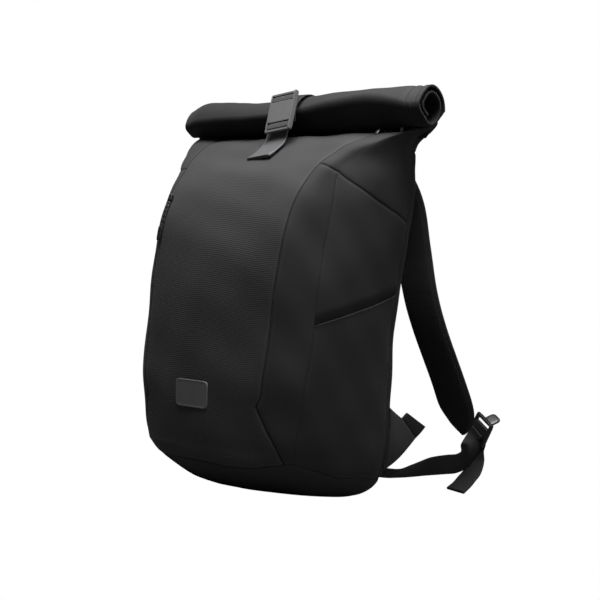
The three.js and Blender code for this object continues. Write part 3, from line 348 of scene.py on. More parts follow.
def joined(*shapes):
    """Several (points, faces, uv) as one."""
    start = 0
    points, faces, uvs = [], [], []
    for shape_points, shape_faces, shape_uv in shapes:
        points.append(shape_points)
        faces.append(shape_faces + start)
        uvs.append(shape_uv)
        start += len(shape_points)
    return np.concatenate(points), np.concatenate(faces), np.concatenate(uvs)


def mirrored(shape):
    """A shape on the other side of the bag, with its faces turned to point out again."""
    points, faces, uv = shape
    return points * (-1, 1, 1), faces[:, ::-1], uv


# %% [markdown]
# Cloth is never quite flat. A few long waves, each a sine along its own direction, lift and sink the
# panels by about half a millimetre, which is what catches the light on a black bag.

# %% Waves and seam valleys
WAVES = ((0.05, 0.02, 0.012, 0.5), (-0.012, 0.03, 0.033, 2.1), (0.021, -0.04, 0.055, 4.0),
         (0.08, 0.05, -0.02, 1.2), (0.03, 0.09, 0.071, 5.2))
WAVE_RATE, WAVE_SIZE = 1.3, 0.35


def waves(points):
    """Sum of sines of the place. A row of WAVES is a direction, as x, y and z, and a start."""
    total = sum(np.sin(points @ np.array((x, y, z)) * WAVE_RATE + start) for x, y, z, start in WAVES)
    return WAVE_SIZE * total


SEAM_DEPTH, SEAM_WIDTH, FAINT_DEPTH = 1.3, 2.0, 0.5
# Painted light at the seams: how much darker the seam line is painted as shade and over what width, and how
# much paler a band beside it is painted as a highlight, at what distance and width.
SEAM_PAINTED_SHADE, PAINTED_SHADE_WIDTH = -0.92, 1.0
SEAM_PAINTED_HIGHLIGHT, PAINTED_HIGHLIGHT_PLACE, PAINTED_HIGHLIGHT_WIDTH = 0.22, 2.6, 0.9
TRIM_REACH = 3


def valley(distance, depth=SEAM_DEPTH, width=SEAM_WIDTH):
    """How far a panel turns in at its seam: an exponential of the distance from the edge."""
    return -depth * np.exp(-np.clip(distance, 0, None) / width)


def panel(name, node, place, level, material, thickness=WALL, lift=0.0, seams="lrtb", faint=""):
    """A sewn panel over a grid of places on the skin. seams names the edges that turn in: l, r, t and b.
    There the cloth is also painted darker as seam shade, with a painted highlight beside it. At an edge
    named in faint it turns in less, and gets no painted seam shade or highlight."""
    points = skin(place, level)
    normal = skin_normal(place, level)
    u = arc_lengths(points, 1)
    v = arc_lengths(points, 0)
    u = u - u.mean(axis=1, keepdims=True)
    distances = {"l": u - u[:, :1], "r": u[:, -1:] - u, "t": v[-1:] - v, "b": v}
    turned_in = painted_seam_shading = np.zeros_like(u)
    for edge, away in distances.items():
        if edge in seams and edge in faint:
            turned_in = np.minimum(turned_in, valley(away, FAINT_DEPTH))
        elif edge in seams:
            turned_in = np.minimum(turned_in, valley(away))
            # Painted light at a sewn seam: a painted highlight a little way in from the edge, and painted
            # shade along the edge in its valley.
            painted_seam_shading = painted_seam_shading + SEAM_PAINTED_HIGHLIGHT * bell(away - PAINTED_HIGHLIGHT_PLACE, PAINTED_HIGHLIGHT_WIDTH)
            painted_seam_shading = painted_seam_shading + SEAM_PAINTED_SHADE * bell(away, PAINTED_SHADE_WIDTH)
    raised = lift + waves(points) + turned_in
    way_round = unit(np.gradient(points, axis=1))
    way_up = unit(np.gradient(points, axis=0))
    near = {edge: np.clip(1 - away / TRIM_REACH, 0, 1)[..., None] for edge, away in distances.items()}
    inward = way_round * (near["l"] - near["r"]) + way_up * (near["b"] - near["t"])
    points = points + SEAM_GAP / 2 * inward
    outer = points + normal * raised[..., None]
    facing = unit(np.cross(np.gradient(outer, axis=1), np.gradient(outer, axis=0)))
    shape = wall(outer, thickness, facing, np.stack([u, v], -1))
    piece = mesh_object(name, *shape, material, np.tile(painted_seam_shading.ravel(), 2))
    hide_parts(node)
    return piece


# %% [markdown]
# Weaves. Every cloth on the bag is the same idea with other numbers: threads that go over and under each
# other. One node group makes it from the UV map: two sines for the two thread directions, one of which is
# stronger on the ribbed front cloth. A slow noise lets the threads drift a little. The group's outputs are
# a height for the bump and a mask that darkens the gaps between the threads.

# %% Weave group


def group_nodes(name, inputs, outputs):
    """An empty node group with the given sockets, as (name, type, value) for inputs."""
    tree = bpy.data.node_groups.new(name, "ShaderNodeTree")
    for label, kind, value in inputs:
        socket = tree.interface.new_socket(label, in_out="INPUT", socket_type=kind)
        if value is not None:
            socket.default_value = value
    for label, kind in outputs:
        tree.interface.new_socket(label, in_out="OUTPUT", socket_type=kind)
    return tree, tree.nodes.new("NodeGroupInput"), tree.nodes.new("NodeGroupOutput")


def math_node(tree, operation, first, second=None):
    """A Math node; a number goes into its own socket and anything else is linked."""
    node = tree.nodes.new("ShaderNodeMath")
    node.operation = operation
    for socket, value in zip(node.inputs, (first, second)):
        if value is None:
            continue
        if isinstance(value, (int, float)):
            socket.default_value = value
        else:
            tree.links.new(value, socket)
    return node.outputs[0]


WEAVE_DRIFT, DRIFT_SCALE, DRIFT_DETAIL = 0.6, 0.11, 2
HEIGHT_GAIN, HEIGHT_MIDDLE = 0.25, 0.5
SHADE_GAIN, SHADE_LOW = 0.5, 0.6
CLOUD_DETAIL = 4


def make_weave_group():
    """Height and shade of a weave from millimetres of cloth."""
    tree, given, result = group_nodes("weave", (
        ("Cloth", "NodeSocketVector", None), ("Pitch", "NodeSocketFloat", 1.0),
        ("Rib", "NodeSocketFloat", 1.0), ("Thread", "NodeSocketFloat", 0.5)),
        (("Height", "NodeSocketFloat"), ("Shade", "NodeSocketFloat")))
    link = tree.links.new
    noise = tree.nodes.new("ShaderNodeTexNoise")
    noise.inputs["Scale"].default_value = DRIFT_SCALE
    noise.inputs["Detail"].default_value = DRIFT_DETAIL
    link(given.outputs["Cloth"], noise.inputs["Vector"])
    split = tree.nodes.new("ShaderNodeSeparateXYZ")
    link(given.outputs["Cloth"], split.inputs[0])
    turn = math_node(tree, "DIVIDE", 2 * math.pi, given.outputs["Pitch"])
    drift = math_node(tree, "MULTIPLY", noise.outputs["Fac"], WEAVE_DRIFT)
    across = math_node(tree, "ADD", math_node(tree, "MULTIPLY", split.outputs["X"], turn), drift)
    along = math_node(tree, "ADD", math_node(tree, "MULTIPLY", split.outputs["Y"], turn), drift)
    rib = math_node(tree, "SINE", along)
    thread = math_node(tree, "SINE", across)
    cross = math_node(tree, "MULTIPLY", rib, thread)
    height = math_node(tree, "ADD", math_node(tree, "MULTIPLY", rib, given.outputs["Rib"]),
                       math_node(tree, "MULTIPLY", cross, given.outputs["Thread"]))
    height = math_node(tree, "ADD", math_node(tree, "MULTIPLY", height, HEIGHT_GAIN), HEIGHT_MIDDLE)
    shade = math_node(tree, "ADD", math_node(tree, "MULTIPLY", height, SHADE_GAIN), SHADE_LOW)
    link(height, result.inputs["Height"])
    link(shade, result.inputs["Shade"])
    return tree


def make_cloud_group():
    """A soft cloudy mask over the object, for dust, handling and uneven dye."""
    tree, given, result = group_nodes("cloud", (
        ("Scale", "NodeSocketFloat", 12.0), ("Low", "NodeSocketFloat", 0.9),
        ("High", "NodeSocketFloat", 1.1)), (("Value", "NodeSocketFloat"),))
    place = tree.nodes.new("ShaderNodeTexCoord")
    noise = tree.nodes.new("ShaderNodeTexNoise")
    noise.inputs["Detail"].default_value = CLOUD_DETAIL
    tree.links.new(place.outputs["Object"], noise.inputs["Vector"])
    tree.links.new(given.outputs["Scale"], noise.inputs["Scale"])
    span = math_node(tree, "SUBTRACT", given.outputs["High"], given.outputs["Low"])
    value = math_node(tree, "ADD", math_node(tree, "MULTIPLY", noise.outputs["Fac"], span),
                      given.outputs["Low"])
    tree.links.new(value, result.inputs["Value"])
    return tree


weave_group = make_weave_group()
cloud_group = make_cloud_group()
print("groups", [group.name for group in bpy.data.node_groups])

# %% [markdown]
# A cloth material is a dark colour times the weave's shade, the cloud and the seams' painted shade and
# highlight, a rough surface, a little sheen for the fuzz of fibres, and the weave's height as bump. Moulded
# parts have a fine grain in place of the weave.

# %% Cloth and plastic materials
SHEEN_ROUGHNESS = 0.5
CLOTH_BUMP, GRAIN_BUMP = 0.0004, 0.0002
GRAIN_SCALE, GRAIN_STRENGTH = 1400.0, 0.12


def group_in(tree, group, **values):
    """A group node with its inputs set by name."""
    node = tree.nodes.new("ShaderNodeGroup")
    node.node_tree = group
    for label, value in values.items():
        node.inputs[label].default_value = value
    return node


def shaded(tree, color, *factors):
    """A colour times some numbers."""
    factor = factors[0]
    for other in factors[1:]:
        factor = math_node(tree, "MULTIPLY", factor, other)
    node = tree.nodes.new("ShaderNodeMix")
    node.data_type = "RGBA"
    node.blend_type = "MULTIPLY"
    node.inputs["Factor"].default_value = 1
    node.inputs["A"].default_value = (*color, 1)
    tree.links.new(factor, node.inputs["B"])
    return node.outputs["Result"]


def material_base(name, roughness, sheen=0.0, specular=0.5):
    """A material with a plain Principled shader, and its tree and shader."""
    made = bpy.data.materials.new(name)
    made.use_nodes = True
    tree = made.node_tree
    shader = tree.nodes["Principled BSDF"]
    shader.inputs["Roughness"].default_value = roughness
    shader.inputs["Sheen Weight"].default_value = sheen
    shader.inputs["Sheen Roughness"].default_value = SHEEN_ROUGHNESS
    shader.inputs["Specular IOR Level"].default_value = specular
    return made, tree, shader


def raise_surface(tree, shader, height, strength, distance):
    """Bumps the shader's normal by a height."""
    lift = tree.nodes.new("ShaderNodeBump")
    lift.inputs["Strength"].default_value = strength
    lift.inputs["Distance"].default_value = distance
    tree.links.new(height, lift.inputs["Height"])
    tree.links.new(lift.outputs["Normal"], shader.inputs["Normal"])


def clouded(tree, shader, color, cloud, roughness, *factors):
    """Links the base colour and the roughness, both of which the cloud makes uneven."""
    tree.links.new(shaded(tree, color, *factors), shader.inputs["Base Color"])
    rough = math_node(tree, "MULTIPLY", cloud, roughness)
    tree.links.new(rough, shader.inputs["Roughness"])


def cloth(name, color, pitch, rib, thread, roughness, sheen, bump, specular):
    """Woven cloth: the weave group on the panel's own millimetres."""
    made, tree, shader = material_base(name, roughness, sheen, specular)
    place = tree.nodes.new("ShaderNodeTexCoord")
    weave = group_in(tree, weave_group, Pitch=pitch, Rib=rib, Thread=thread)
    cloud = group_in(tree, cloud_group, Scale=9.0, Low=0.8, High=1.2).outputs["Value"]
    tree.links.new(place.outputs["UV"], weave.inputs["Cloth"])
    # The attribute paints the seams: darker in their valleys as painted shade, paler beside them as a
    # painted highlight.
    painted_seam_shading = tree.nodes.new("ShaderNodeAttribute")
    painted_seam_shading.attribute_name = "painted_seam_shading"
    painted_seam_factor = math_node(tree, "ADD", painted_seam_shading.outputs["Fac"], 1.0)
    clouded(tree, shader, color, cloud, roughness, weave.outputs["Shade"], cloud, painted_seam_factor)
    raise_surface(tree, shader, weave.outputs["Height"], bump, CLOTH_BUMP)
    return made


def moulded(name, color, roughness):
    """Moulded plastic, rubber or cast metal with a fine spark-eroded grain."""
    made, tree, shader = material_base(name, roughness)
    cloud = group_in(tree, cloud_group, Scale=40.0, Low=0.85, High=1.15).outputs["Value"]
    place = tree.nodes.new("ShaderNodeTexCoord")
    noise = tree.nodes.new("ShaderNodeTexNoise")
    noise.inputs["Scale"].default_value = GRAIN_SCALE
    tree.links.new(place.outputs["Object"], noise.inputs["Vector"])
    clouded(tree, shader, color, cloud, roughness, cloud)
    raise_surface(tree, shader, noise.outputs["Fac"], GRAIN_STRENGTH, GRAIN_BUMP)
    return made


ripstop = cloth("ribbed_front_cloth", (0.034, 0.034, 0.035), pitch=2.3, rib=1.0, thread=0.5,
                roughness=0.7, sheen=0.06, bump=0.5, specular=0.2)
twill = cloth("plain_side_cloth", (0.025, 0.025, 0.026), pitch=1.0, rib=0.5, thread=0.8,
              roughness=0.75, sheen=0.06, bump=0.4, specular=0.2)
roll_cloth = cloth("roll_cloth", (0.018, 0.018, 0.019), pitch=1.1, rib=0.6, thread=0.8,
                   roughness=0.7, sheen=0.06, bump=0.4, specular=0.2)
mesh_cloth = cloth("spacer_mesh", (0.028, 0.028, 0.029), pitch=2.6, rib=0.9, thread=1.0,
                   roughness=0.9, sheen=0.05, bump=0.9, specular=0.15)
tape = cloth("webbing_tape", (0.011, 0.011, 0.012), pitch=1.5, rib=1.0, thread=0.3,
             roughness=0.6, sheen=0.05, bump=0.6, specular=0.25)
# A copy of the closure webbing whose colour is painted about eight times paler, as painted light where the
# tail and the wraps catch the lamp; tape holds the webbing's own dark colour.
lit_closure_tape = cloth("closure_tape_painted_lit", (0.085, 0.085, 0.088), pitch=1.2, rib=0.8, thread=0.2,
                    roughness=0.5, sheen=0.05, bump=0.25, specular=0.4)
plastic = moulded("buckle_plastic", (0.13, 0.13, 0.133), roughness=0.42)
dark_plastic = moulded("lock_plastic", (0.012, 0.012, 0.013), roughness=0.36)
rubber = moulded("label_rubber", (0.1, 0.1, 0.102), roughness=0.5)
metal = moulded("slider_metal", (0.22, 0.22, 0.23), roughness=0.35)
print("materials", len(bpy.data.materials))

# %% [markdown]
# The front panel lies between the two front seams. It is one ribbed cloth from the foot to the neck.

# %% Front panel


def body_level(row, place, top=None):
    """Level of a row of a body panel. The lowest band runs from the base seam to the first level row, and
    above it rows are level, or are spread up to a slanting top seam."""
    base = line(BASE_SEAM, place)
    in_band = np.clip((row - FOOT_LEVEL) / (FIRST_ROW - FOOT_LEVEL), 0, 1)
    above = row if top is None else mix(FIRST_ROW, top, (row - FIRST_ROW) / (TOP_ROW - FIRST_ROW))
    return np.where(row < FIRST_ROW, mix(base, FIRST_ROW, in_band), above)


def grid(rows, columns):
    """Two arrays with the row values down and the column values across."""
    return np.meshgrid(rows, columns, indexing="ij")


def rows_to(top, count):
    """Row values from the foot to a top, with one at each knot of the front seam, so that the panels on
    both sides of the seam turn at the same points."""
    knots = [level for level, place in FRONT_SEAM if FOOT_LEVEL < level < top]
    return np.union1d(mix(FOOT_LEVEL, top, dense(count)), knots)


row, t = grid(rows_to(1, 190), 2 * dense(110) - 1)
place = t * front_seam(row)
front = panel("front_cloth", "front_panel", place, body_level(row, place), ripstop)
print("front panel", len(front.data.vertices), "vertices")

# %% [markdown]
# The corner panel is the narrow facet between the front seam and the ridge. It runs to a rounded tip
# where the shoulder seam starts.

# %% Corner panels
OTHER_SIDE = str.maketrans("lr", "rl")


def side_pair(name, node, place, level, lift=0.0, seams="lrtb", faint=""):
    """A twill panel on the right and its mirror on the left, where left and right edges change places."""
    lift = np.broadcast_to(lift, place.shape)
    for side in ("right", "left"):
        piece = panel(f"{name}_{side}", f"{node}_{side}", place, level, twill, lift=lift, seams=seams,
                      faint=faint)
        print(piece.name, len(piece.data.vertices), "vertices")
        place, level, lift = -place[:, ::-1], level[:, ::-1], lift[:, ::-1]
        seams, faint = seams.translate(OTHER_SIDE), faint.translate(OTHER_SIDE)


row, t = grid(rows_to(TOP_ROW, 150), dense(26, 0.6))
place = mix(front_seam(row), RIDGE, t)
tip = mix(front_seam(np.full_like(row, TOP_ROW)), RIDGE, t)
side_pair("corner_cloth", "corner_panel", place, body_level(row, place, line(SHOULDER_SEAM, tip)), faint="r")

# %% [markdown]
# The side panel runs down behind the pocket, where it sinks so that the pocket stands open. The pocket is
# a sheet of its own over the lower side, bound with a hem along its sloping mouth.

# %% Side panels and pockets
POCKET_STEP, POCKET_FADE, POCKET_ROOM, POCKET_LIP, POCKET_CLEAR = 0.03, 0.09, 9, 1.6, 1.2
HEM_START, HEM_RISE = 0.975, 0.4


def ease(share):
    """A share held between 0 and 1, with a soft start and a soft end."""
    share = np.clip(share, 0, 1)
    return share * share * (3 - 2 * share)


def hump(share):
    """0 at both ends and 1 in the middle."""
    return 4 * share * (1 - share)


def pocket_sink(place, level):
    """How far the side sinks behind the pocket: a step at its mouth, and a belly inside it that fades out
    towards the ridge, the edge and the foot."""
    half = np.abs(place)
    mouth = line(POCKET_MOUTH, half)
    across = np.clip((half - RIDGE) / (EDGE - RIDGE), 0, 1)
    below = np.clip((level - line(BASE_SEAM, half)) / POCKET_FADE, 0, 1)
    belly = np.sqrt(hump(across)) * below * ease((mouth - level) / POCKET_FADE)
    step = ease((mouth + POCKET_STEP - level) / POCKET_STEP)
    return -(WALL + POCKET_CLEAR) * step - POCKET_ROOM * belly


row, place = grid(mix(FOOT_LEVEL, TOP_ROW, dense(150)), mix(RIDGE, EDGE, dense(70)))
level = body_level(row, place, line(SHOULDER_SEAM, place))
side_pair("side_cloth", "side_panel", place, level, pocket_sink(place, level), faint="lr")
share, place = grid(dense(120), mix(RIDGE, EDGE, dense(70)))
level = mix(line(BASE_SEAM, place), line(POCKET_MOUTH, place), share)
hem = np.clip((share - HEM_START) / (1 - HEM_START), 0, 1) * HEM_RISE
lip = POCKET_LIP * share ** 2 * hump((place - RIDGE) / (EDGE - RIDGE))
side_pair("pocket_cloth", "side_pocket", place, level, lip + hem, seams="lrb", faint="lr")

# %% [markdown]
# Above the shoulder seam the side flares out to the end of the roll.

# %% Shoulder panels
columns = np.concatenate([dense(24, 0.4), 1 + dense(60, 0.4)[1:]])
share, column = grid(dense(70), columns)
row = mix(TOP_ROW, 1, share)
corner = np.clip(column, 0, 1)
beyond = mix(RIDGE, EDGE, np.clip(column - 1, 0, 1))
place = np.where(column <= 1, mix(front_seam(row), RIDGE, corner), beyond)
foot = np.where(column <= 1, mix(front_seam(np.full_like(row, TOP_ROW)), RIDGE, corner), beyond)
level = mix(line(SHOULDER_SEAM, foot), 1, share)
side_pair("shoulder_cloth", "shoulder_panel", place, level, seams="lrb", faint="r")

# %% [markdown]
# The back is a padded mesh panel, with sewn channels that part the padding, and a plain cloth yoke above
# it. The base is a shallow tub.

# %% Back, yoke and base
PADDING, BACK_TURN = 8, 3.1
CHANNEL_X, CHANNEL_WIDTH, CHANNEL_DEPTH = 28, 5, 2.6
CROSS_LEVELS, CROSS_DEPTH = (120, 210, 300), 2.2
CROSS_START, CROSS_END, CROSS_FADE = 26, 138, 6
back_half = np.concatenate([mix(EDGE, BACK_TURN, dense(24, 0.3)), mix(BACK_TURN, SPINE, dense(30, 0))[1:]])
back_places = np.concatenate([back_half, -back_half[:-1][::-1]])
share, place = grid(dense(150), back_places)
level = mix(line(BASE_SEAM, place), YOKE_LEVEL, share)
middle = skin(place, level)
aside = np.abs(middle[..., 0])
channels = bell(aside - CHANNEL_X, CHANNEL_WIDTH)
cross = sum(bell(middle[..., 2] - z, CHANNEL_WIDTH) for z in CROSS_LEVELS)
beyond = np.clip((aside - CROSS_START) / CROSS_FADE, 0, 1) * np.clip((CROSS_END - aside) / CROSS_FADE, 0, 1)
quilt = -CHANNEL_DEPTH * channels - CROSS_DEPTH * cross * beyond
back = panel("back_padding", "back_panel", place, level, mesh_cloth, thickness=PADDING - WALL, lift=quilt,
             faint="lr")
share, place = grid(dense(40), back_places)
level = mix(YOKE_LEVEL, 1, share)
yoke = panel("yoke_cloth", "back_yoke", place, level, twill)

BASE_RING, RING_CROWD, FLAT_LEVEL, LOWEST = 0.02, 1.3, 0.012, 0.004
FLOOR_SHARES = (0, 0.35, 0.7, 0.93)
DOWN = np.array([0, 0, -1.0])


def base_shape():
    """The tub: rows run from a small flat ring out to the base seam, and columns run all the way round."""
    half = SPINE * np.linspace(0, 1, 160)
    loop = np.concatenate([half, -half[1:-1][::-1], half[:1]])
    share = np.concatenate([[0], np.linspace(BASE_RING, 1, 60) ** RING_CROWD])
    s, place = grid(share, loop)
    level = line(BASE_SEAM, place) * s
    points = skin(place, level)
    normal = skin_normal(place, np.clip(level, LOWEST, 1))
    flat = np.clip(1 - level / FLAT_LEVEL, 0, 1)[..., None]
    normal = unit(normal * (1 - flat) + DOWN * flat)
    centre = (skin(0, 0) + skin(SPINE, 0)) / 2
    floor_rows = [centre + (points[0] - centre) * share for share in FLOOR_SHARES]
    down = np.broadcast_to(DOWN, (len(FLOOR_SHARES),) + points[0].shape)
    distance = arc_lengths(points, 0)
    points = points + normal * valley(distance[-1:] - distance)[..., None] * (1 - flat)
    outer = np.concatenate([np.stack(floor_rows), points])
    facing = np.concatenate([down, normal])
    v = arc_lengths(outer, 0)
    u = np.broadcast_to(arc_lengths(points[-1:], 1), v.shape)
    return wall(outer, WALL, facing, np.stack([u, v], -1), looped=True)


base = mesh_object("base_cloth", *base_shape(), twill)
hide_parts("base_panel")

# %% [markdown]
# The roll. The top of the bag is one sheet wound back to front, so its section is a spiral whose radius
# shrinks as it turns. Along its length the section is squeezed, most of all at the left end, and its round
# is cut by two chords that meet in a soft ridge. Creases cross the sheet where fingers rolled it.

# %% Roll
ROLL_RADIUS, ROLL_PITCH, ROLL_TURNS = 27, 7, 1.7
ROLL_HALF, ROLL_MIDDLE_X, ROLL_CENTRE_Y, ROLL_SHEET = 186, 6, 41, 3
ROLL_FOOT = HEIGHT + 1.8
HANG_INSET, HANG_SHEET, HANG_FOOT, HANG_SHARE = 3.6, 1.6, 405, 0.9
RIDGE_TURN = np.array([(-1, 202), (-0.85, 198), (-0.35, 190), (0.05, 182), (0.3, 163), (0.6, 150),
                       (0.8, 172), (0.9, 186), (1, 190)], float)
RIDGE_SOFT = (-15, -10, -5, 0, 5, 10, 15)
TOP_TURN, UNDER_TURN, TOP_FLAT, UNDER_FLAT = 98, 272, 0.55, 0.9
LOWEST_TURN = 0.72
ROLL_RISE = ROLL_RADIUS - LOWEST_TURN * ROLL_PITCH
ROLL_SHAPE = np.array([(-1, 0.74, 0.72), (-0.9, 0.89, 0.9), (-0.74, 0.91, 1), (-0.36, 0.82, 1), (0, 0.88, 1),
                       (0.3, 0.945, 1), (1, 0.968, 1)])


def roll_squeeze(along):
    """Height and depth shares of the roll's section at shares of its half length."""
    value = smooth(ROLL_SHAPE[:, 0], ROLL_SHAPE[:, 1:], along)
    return value[..., 0], value[..., 1]


def flattened(turn, start, end, share):
    """What share of the radius is left where the round is cut by a straight chord from start to end: the
    cosine of half the chord's angle over the cosine of the angle from its middle."""
    middle, half = (start + end) / 2, (end - start) / 2
    inside = np.abs(turn - middle) < half
    chord = np.cos(np.radians(half)) / np.cos(np.radians(np.where(inside, turn - middle, half)))
    return 1 - share * (1 - chord)


def roll_folds(turn, along):
    """The hand-rolled shape: a flat upper face down to a ridge, and under the ridge a flat that faces down.
    The mean over a few near turns rounds the ridge off."""
    ridge = smooth(RIDGE_TURN[:, 0], RIDGE_TURN[:, 1:], along)[..., 0]
    folds = []
    for near in RIDGE_SOFT:
        once = np.mod(turn + near, 360)
        upper = flattened(once, TOP_TURN, ridge, TOP_FLAT)
        folds.append(upper * flattened(once, ridge, UNDER_TURN, UNDER_FLAT))
    return sum(folds) / len(folds)


def roll_point(turn, along, out=0.0, folds=1.0):
    """Spiral: the angle grows from the back of the roll up over its top, and the radius shrinks with it."""
    angle = np.radians(turn)
    radius = (ROLL_RADIUS - ROLL_PITCH * (turn / 360)) * folds + out
    height, depth = roll_squeeze(along)
    x = ROLL_MIDDLE_X + along * ROLL_HALF
    y = ROLL_CENTRE_Y + radius * np.cos(angle) * depth
    z = ROLL_FOOT + (ROLL_RISE + radius * np.sin(angle)) * height
    return np.stack(np.broadcast_arrays(x, y, z), -1)


CREASES = ((0.885, 0.012, 0.0, -2.2), (0.925, 0.010, 0.008, -2.4), (0.958, 0.008, -0.005, -1.8),
           (-0.62, 0.05, 0.05, -0.8), (-0.2, 0.06, -0.04, -0.7), (0.45, 0.07, 0.05, -0.7))
DENT_WAVE, DENT_RATE, DENT_LIFT, DENT_FADE = 0.35, 23, 0.5, 400


def roll_dents(turn, along):
    """Creases across the rolled sheet and a soft wave, in mm, which fade on the turns inside. A row of
    CREASES is a place along the roll, a width, a slant round it and a depth."""
    lean = np.sin(np.radians(turn))
    creases = sum(depth * bell(along - at - slant * lean, width) for at, width, slant, depth in CREASES)
    wave = DENT_WAVE * np.sin(along * DENT_RATE + np.radians(turn))
    return (creases + wave + DENT_LIFT) * np.clip(1 - turn / DENT_FADE, 0, 1)


def roll_shape():
    """The wound sheet with a straight hang down to the back of the neck."""
    turns = np.linspace(ROLL_TURNS * 360, 0, 230)
    turn, along = grid(turns, 2 * dense(170, 0.7) - 1)
    folds, dents = roll_folds(turn, along), roll_dents(turn, along)
    outer = roll_point(turn, along, dents, folds)
    inner = roll_point(turn, along, dents - ROLL_SHEET, folds)
    neck_back = skin(SPINE, 1)[1]
    depth = roll_squeeze(along[0])[1]
    end_y = ROLL_CENTRE_Y + (neck_back - HANG_INSET - ROLL_CENTRE_Y) * depth
    hang = np.stack([ROLL_MIDDLE_X + along[0] * ROLL_HALF * HANG_SHARE, end_y,
                     np.full(along.shape[1], HANG_FOOT)], -1)
    steps = np.linspace(0, 1, 16)[1:, None, None]
    outer = np.concatenate([outer, mix(outer[-1], hang, steps)])
    inner = np.concatenate([inner, mix(inner[-1], hang - np.array([0, HANG_SHEET, 0]), steps)])
    normal = outer - inner
    uv = np.stack([arc_lengths(outer, 1), arc_lengths(outer, 0)], -1)
    return wall(outer, 1.0, normal, uv)


roll = mesh_object("rolled_top", *roll_shape(), roll_cloth)
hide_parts("roll_top")
print("roll", len(roll.data.vertices), "vertices")

# %% [markdown]
# Straps. A strap is a cross-section carried along a path. The path is a smooth curve through a few places,
# and at each place the width points in a chosen direction, which is how webbing twists.

# %% Strap helper
PATH_COLUMNS = ("x", "y", "z", "swing", "tilt", "width", "thick")


def strap(rows, count, section=None):
    """Carries a flat rounded section along a path, whose rows have PATH_COLUMNS. swing is the width's turn
    about the upright from +X and tilt its rise, in degrees. Returns points, faces and uv."""
    rows = np.array(rows, float)
    knots = np.linspace(0, 1, len(rows))
    t = np.linspace(0, 1, count)
    values = smooth(knots, rows, t)
    at = dict(zip(PATH_COLUMNS, values.T))
    centre = values[:, :3]
    ahead = unit(np.gradient(centre, axis=0))
    swing, tilt = np.radians(at["swing"]), np.radians(at["tilt"])
    wide = np.stack([np.cos(swing) * np.cos(tilt), np.sin(swing) * np.cos(tilt), np.sin(tilt)], -1)
    wide = unit(wide - ahead * np.sum(wide * ahead, -1, keepdims=True))
    face = unit(np.cross(wide, ahead))
    half, deep = at["width"][:, None, None] / 2, at["thick"][:, None, None] / 2
    flat, depth, edge = np.moveaxis(flat_section() if section is None else section, -1, 0)[:, None, :, None]
    ring = (centre[:, None] + wide[:, None] * (flat * (half - deep) + edge * deep)
            + face[:, None] * depth * deep)
    return tube(ring)


def flat_section(corner=5):
    """Points round a flat bar with round edges: x share of the flat half width, depth share, edge share."""
    flat = np.linspace(1, -1, 14)[:, None]
    top = np.hstack([flat, np.ones_like(flat), np.zeros_like(flat)])
    angle = np.linspace(np.pi / 2, 3 * np.pi / 2, corner + 2)[1:-1, None]
    left = np.hstack([-np.ones_like(angle), np.sin(angle), np.cos(angle)])
    bottom = top * (-1, -1, 1)
    right = left * (-1, -1, -1)
    return np.vstack([top, left, bottom, right])


END_SHARE = 0.6


def tube(ring):
    """A closed tube through rings of points, with both ends filled by shrinking the last ring to a point."""
    count, around = ring.shape[:2]
    looped = np.concatenate([ring, ring[:, :1]], axis=1)
    start, end = looped[0].mean(axis=0), looped[-1].mean(axis=0)
    rows = [np.broadcast_to(start, looped[0].shape), mix(start, looped[0], END_SHARE), looped[0]]
    rows_end = [looped[-1], mix(end, looped[-1], END_SHARE), np.broadcast_to(end, looped[0].shape)]
    full = np.concatenate([np.stack(rows), looped[1:-1], np.stack(rows_end)])
    u = arc_lengths(full, 1)
    v = arc_lengths(full[:, :1], 0) + np.zeros_like(u)
    faces = quads(len(full), around + 1)
    return full.reshape(-1, 3), faces, np.stack([u, v], -1).reshape(-1, 2)


def solid_piece(name, shape, material, slot, *nodes):
    """A mesh object from a shape, which hides the CAD nodes that it stands for, if any. slot is not used."""
    piece = mesh_object(name, *shape, material)
    if nodes:
        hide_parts(*nodes)
    print(name, len(piece.data.vertices), "vertices")
    return piece


# %% [markdown]
# The closure: a flat tape goes from the yoke up behind the roll, over it and down to the buckle, and a
# tail with a folded end lies on the front panel.

# %% Closure strap and tail
TAPE_WIDTH, TAPE_THICK = 38, 2
STRAP_OFF = 1.5
STRAP_TURNS, DROPS, YOKE_LEVELS = (180, 155, 130, 105, 80, 55, 30, 5), (12, 6), (0.975, 0.945, 0.91)
STRAP_ALONG = -ROLL_MIDDLE_X / ROLL_HALF
strap_front = roll_point(180.0, STRAP_ALONG, STRAP_OFF + TAPE_THICK)


def on_skin(place, level, off):
    """A point off the skin."""
    return skin(place, level) + skin_normal(np.asarray(place, float), np.asarray(level, float)) * off


def closure_rows():
    """The tape's path: down the roll's front, over its top and down its back to the yoke."""
    off = STRAP_OFF + TAPE_THICK / 2
    over = [roll_point(float(turn), STRAP_ALONG, off) for turn in STRAP_TURNS]
    drop = [over[0] - (0, 0, down) for down in DROPS]
    yoke_points = [on_skin(SPINE, level, off) for level in YOKE_LEVELS]
    return [(0, p[1], p[2], 0, 0, TAPE_WIDTH, TAPE_THICK) for p in drop + over + yoke_points]


solid_piece("closure_tape", strap(closure_rows(), 120), tape, "webbing", "closure_strap")

TAIL_SWING, TAIL_RISE, TAIL_START, TAIL_X = -8, 8, 13, -0.5
TAIL_HANGS = ((-2, 2.5, 0, TAIL_SWING), (-4, 3.5, 12, TAIL_SWING), (-4, 6, 20, TAIL_SWING / 2),
              (-1.5, 14, 29, 0))
TAIL_RESTS = ((0.925, TAPE_THICK, 1.2), (0.913, 3.2, 0.6), (0.903, 3.4, 0.6))


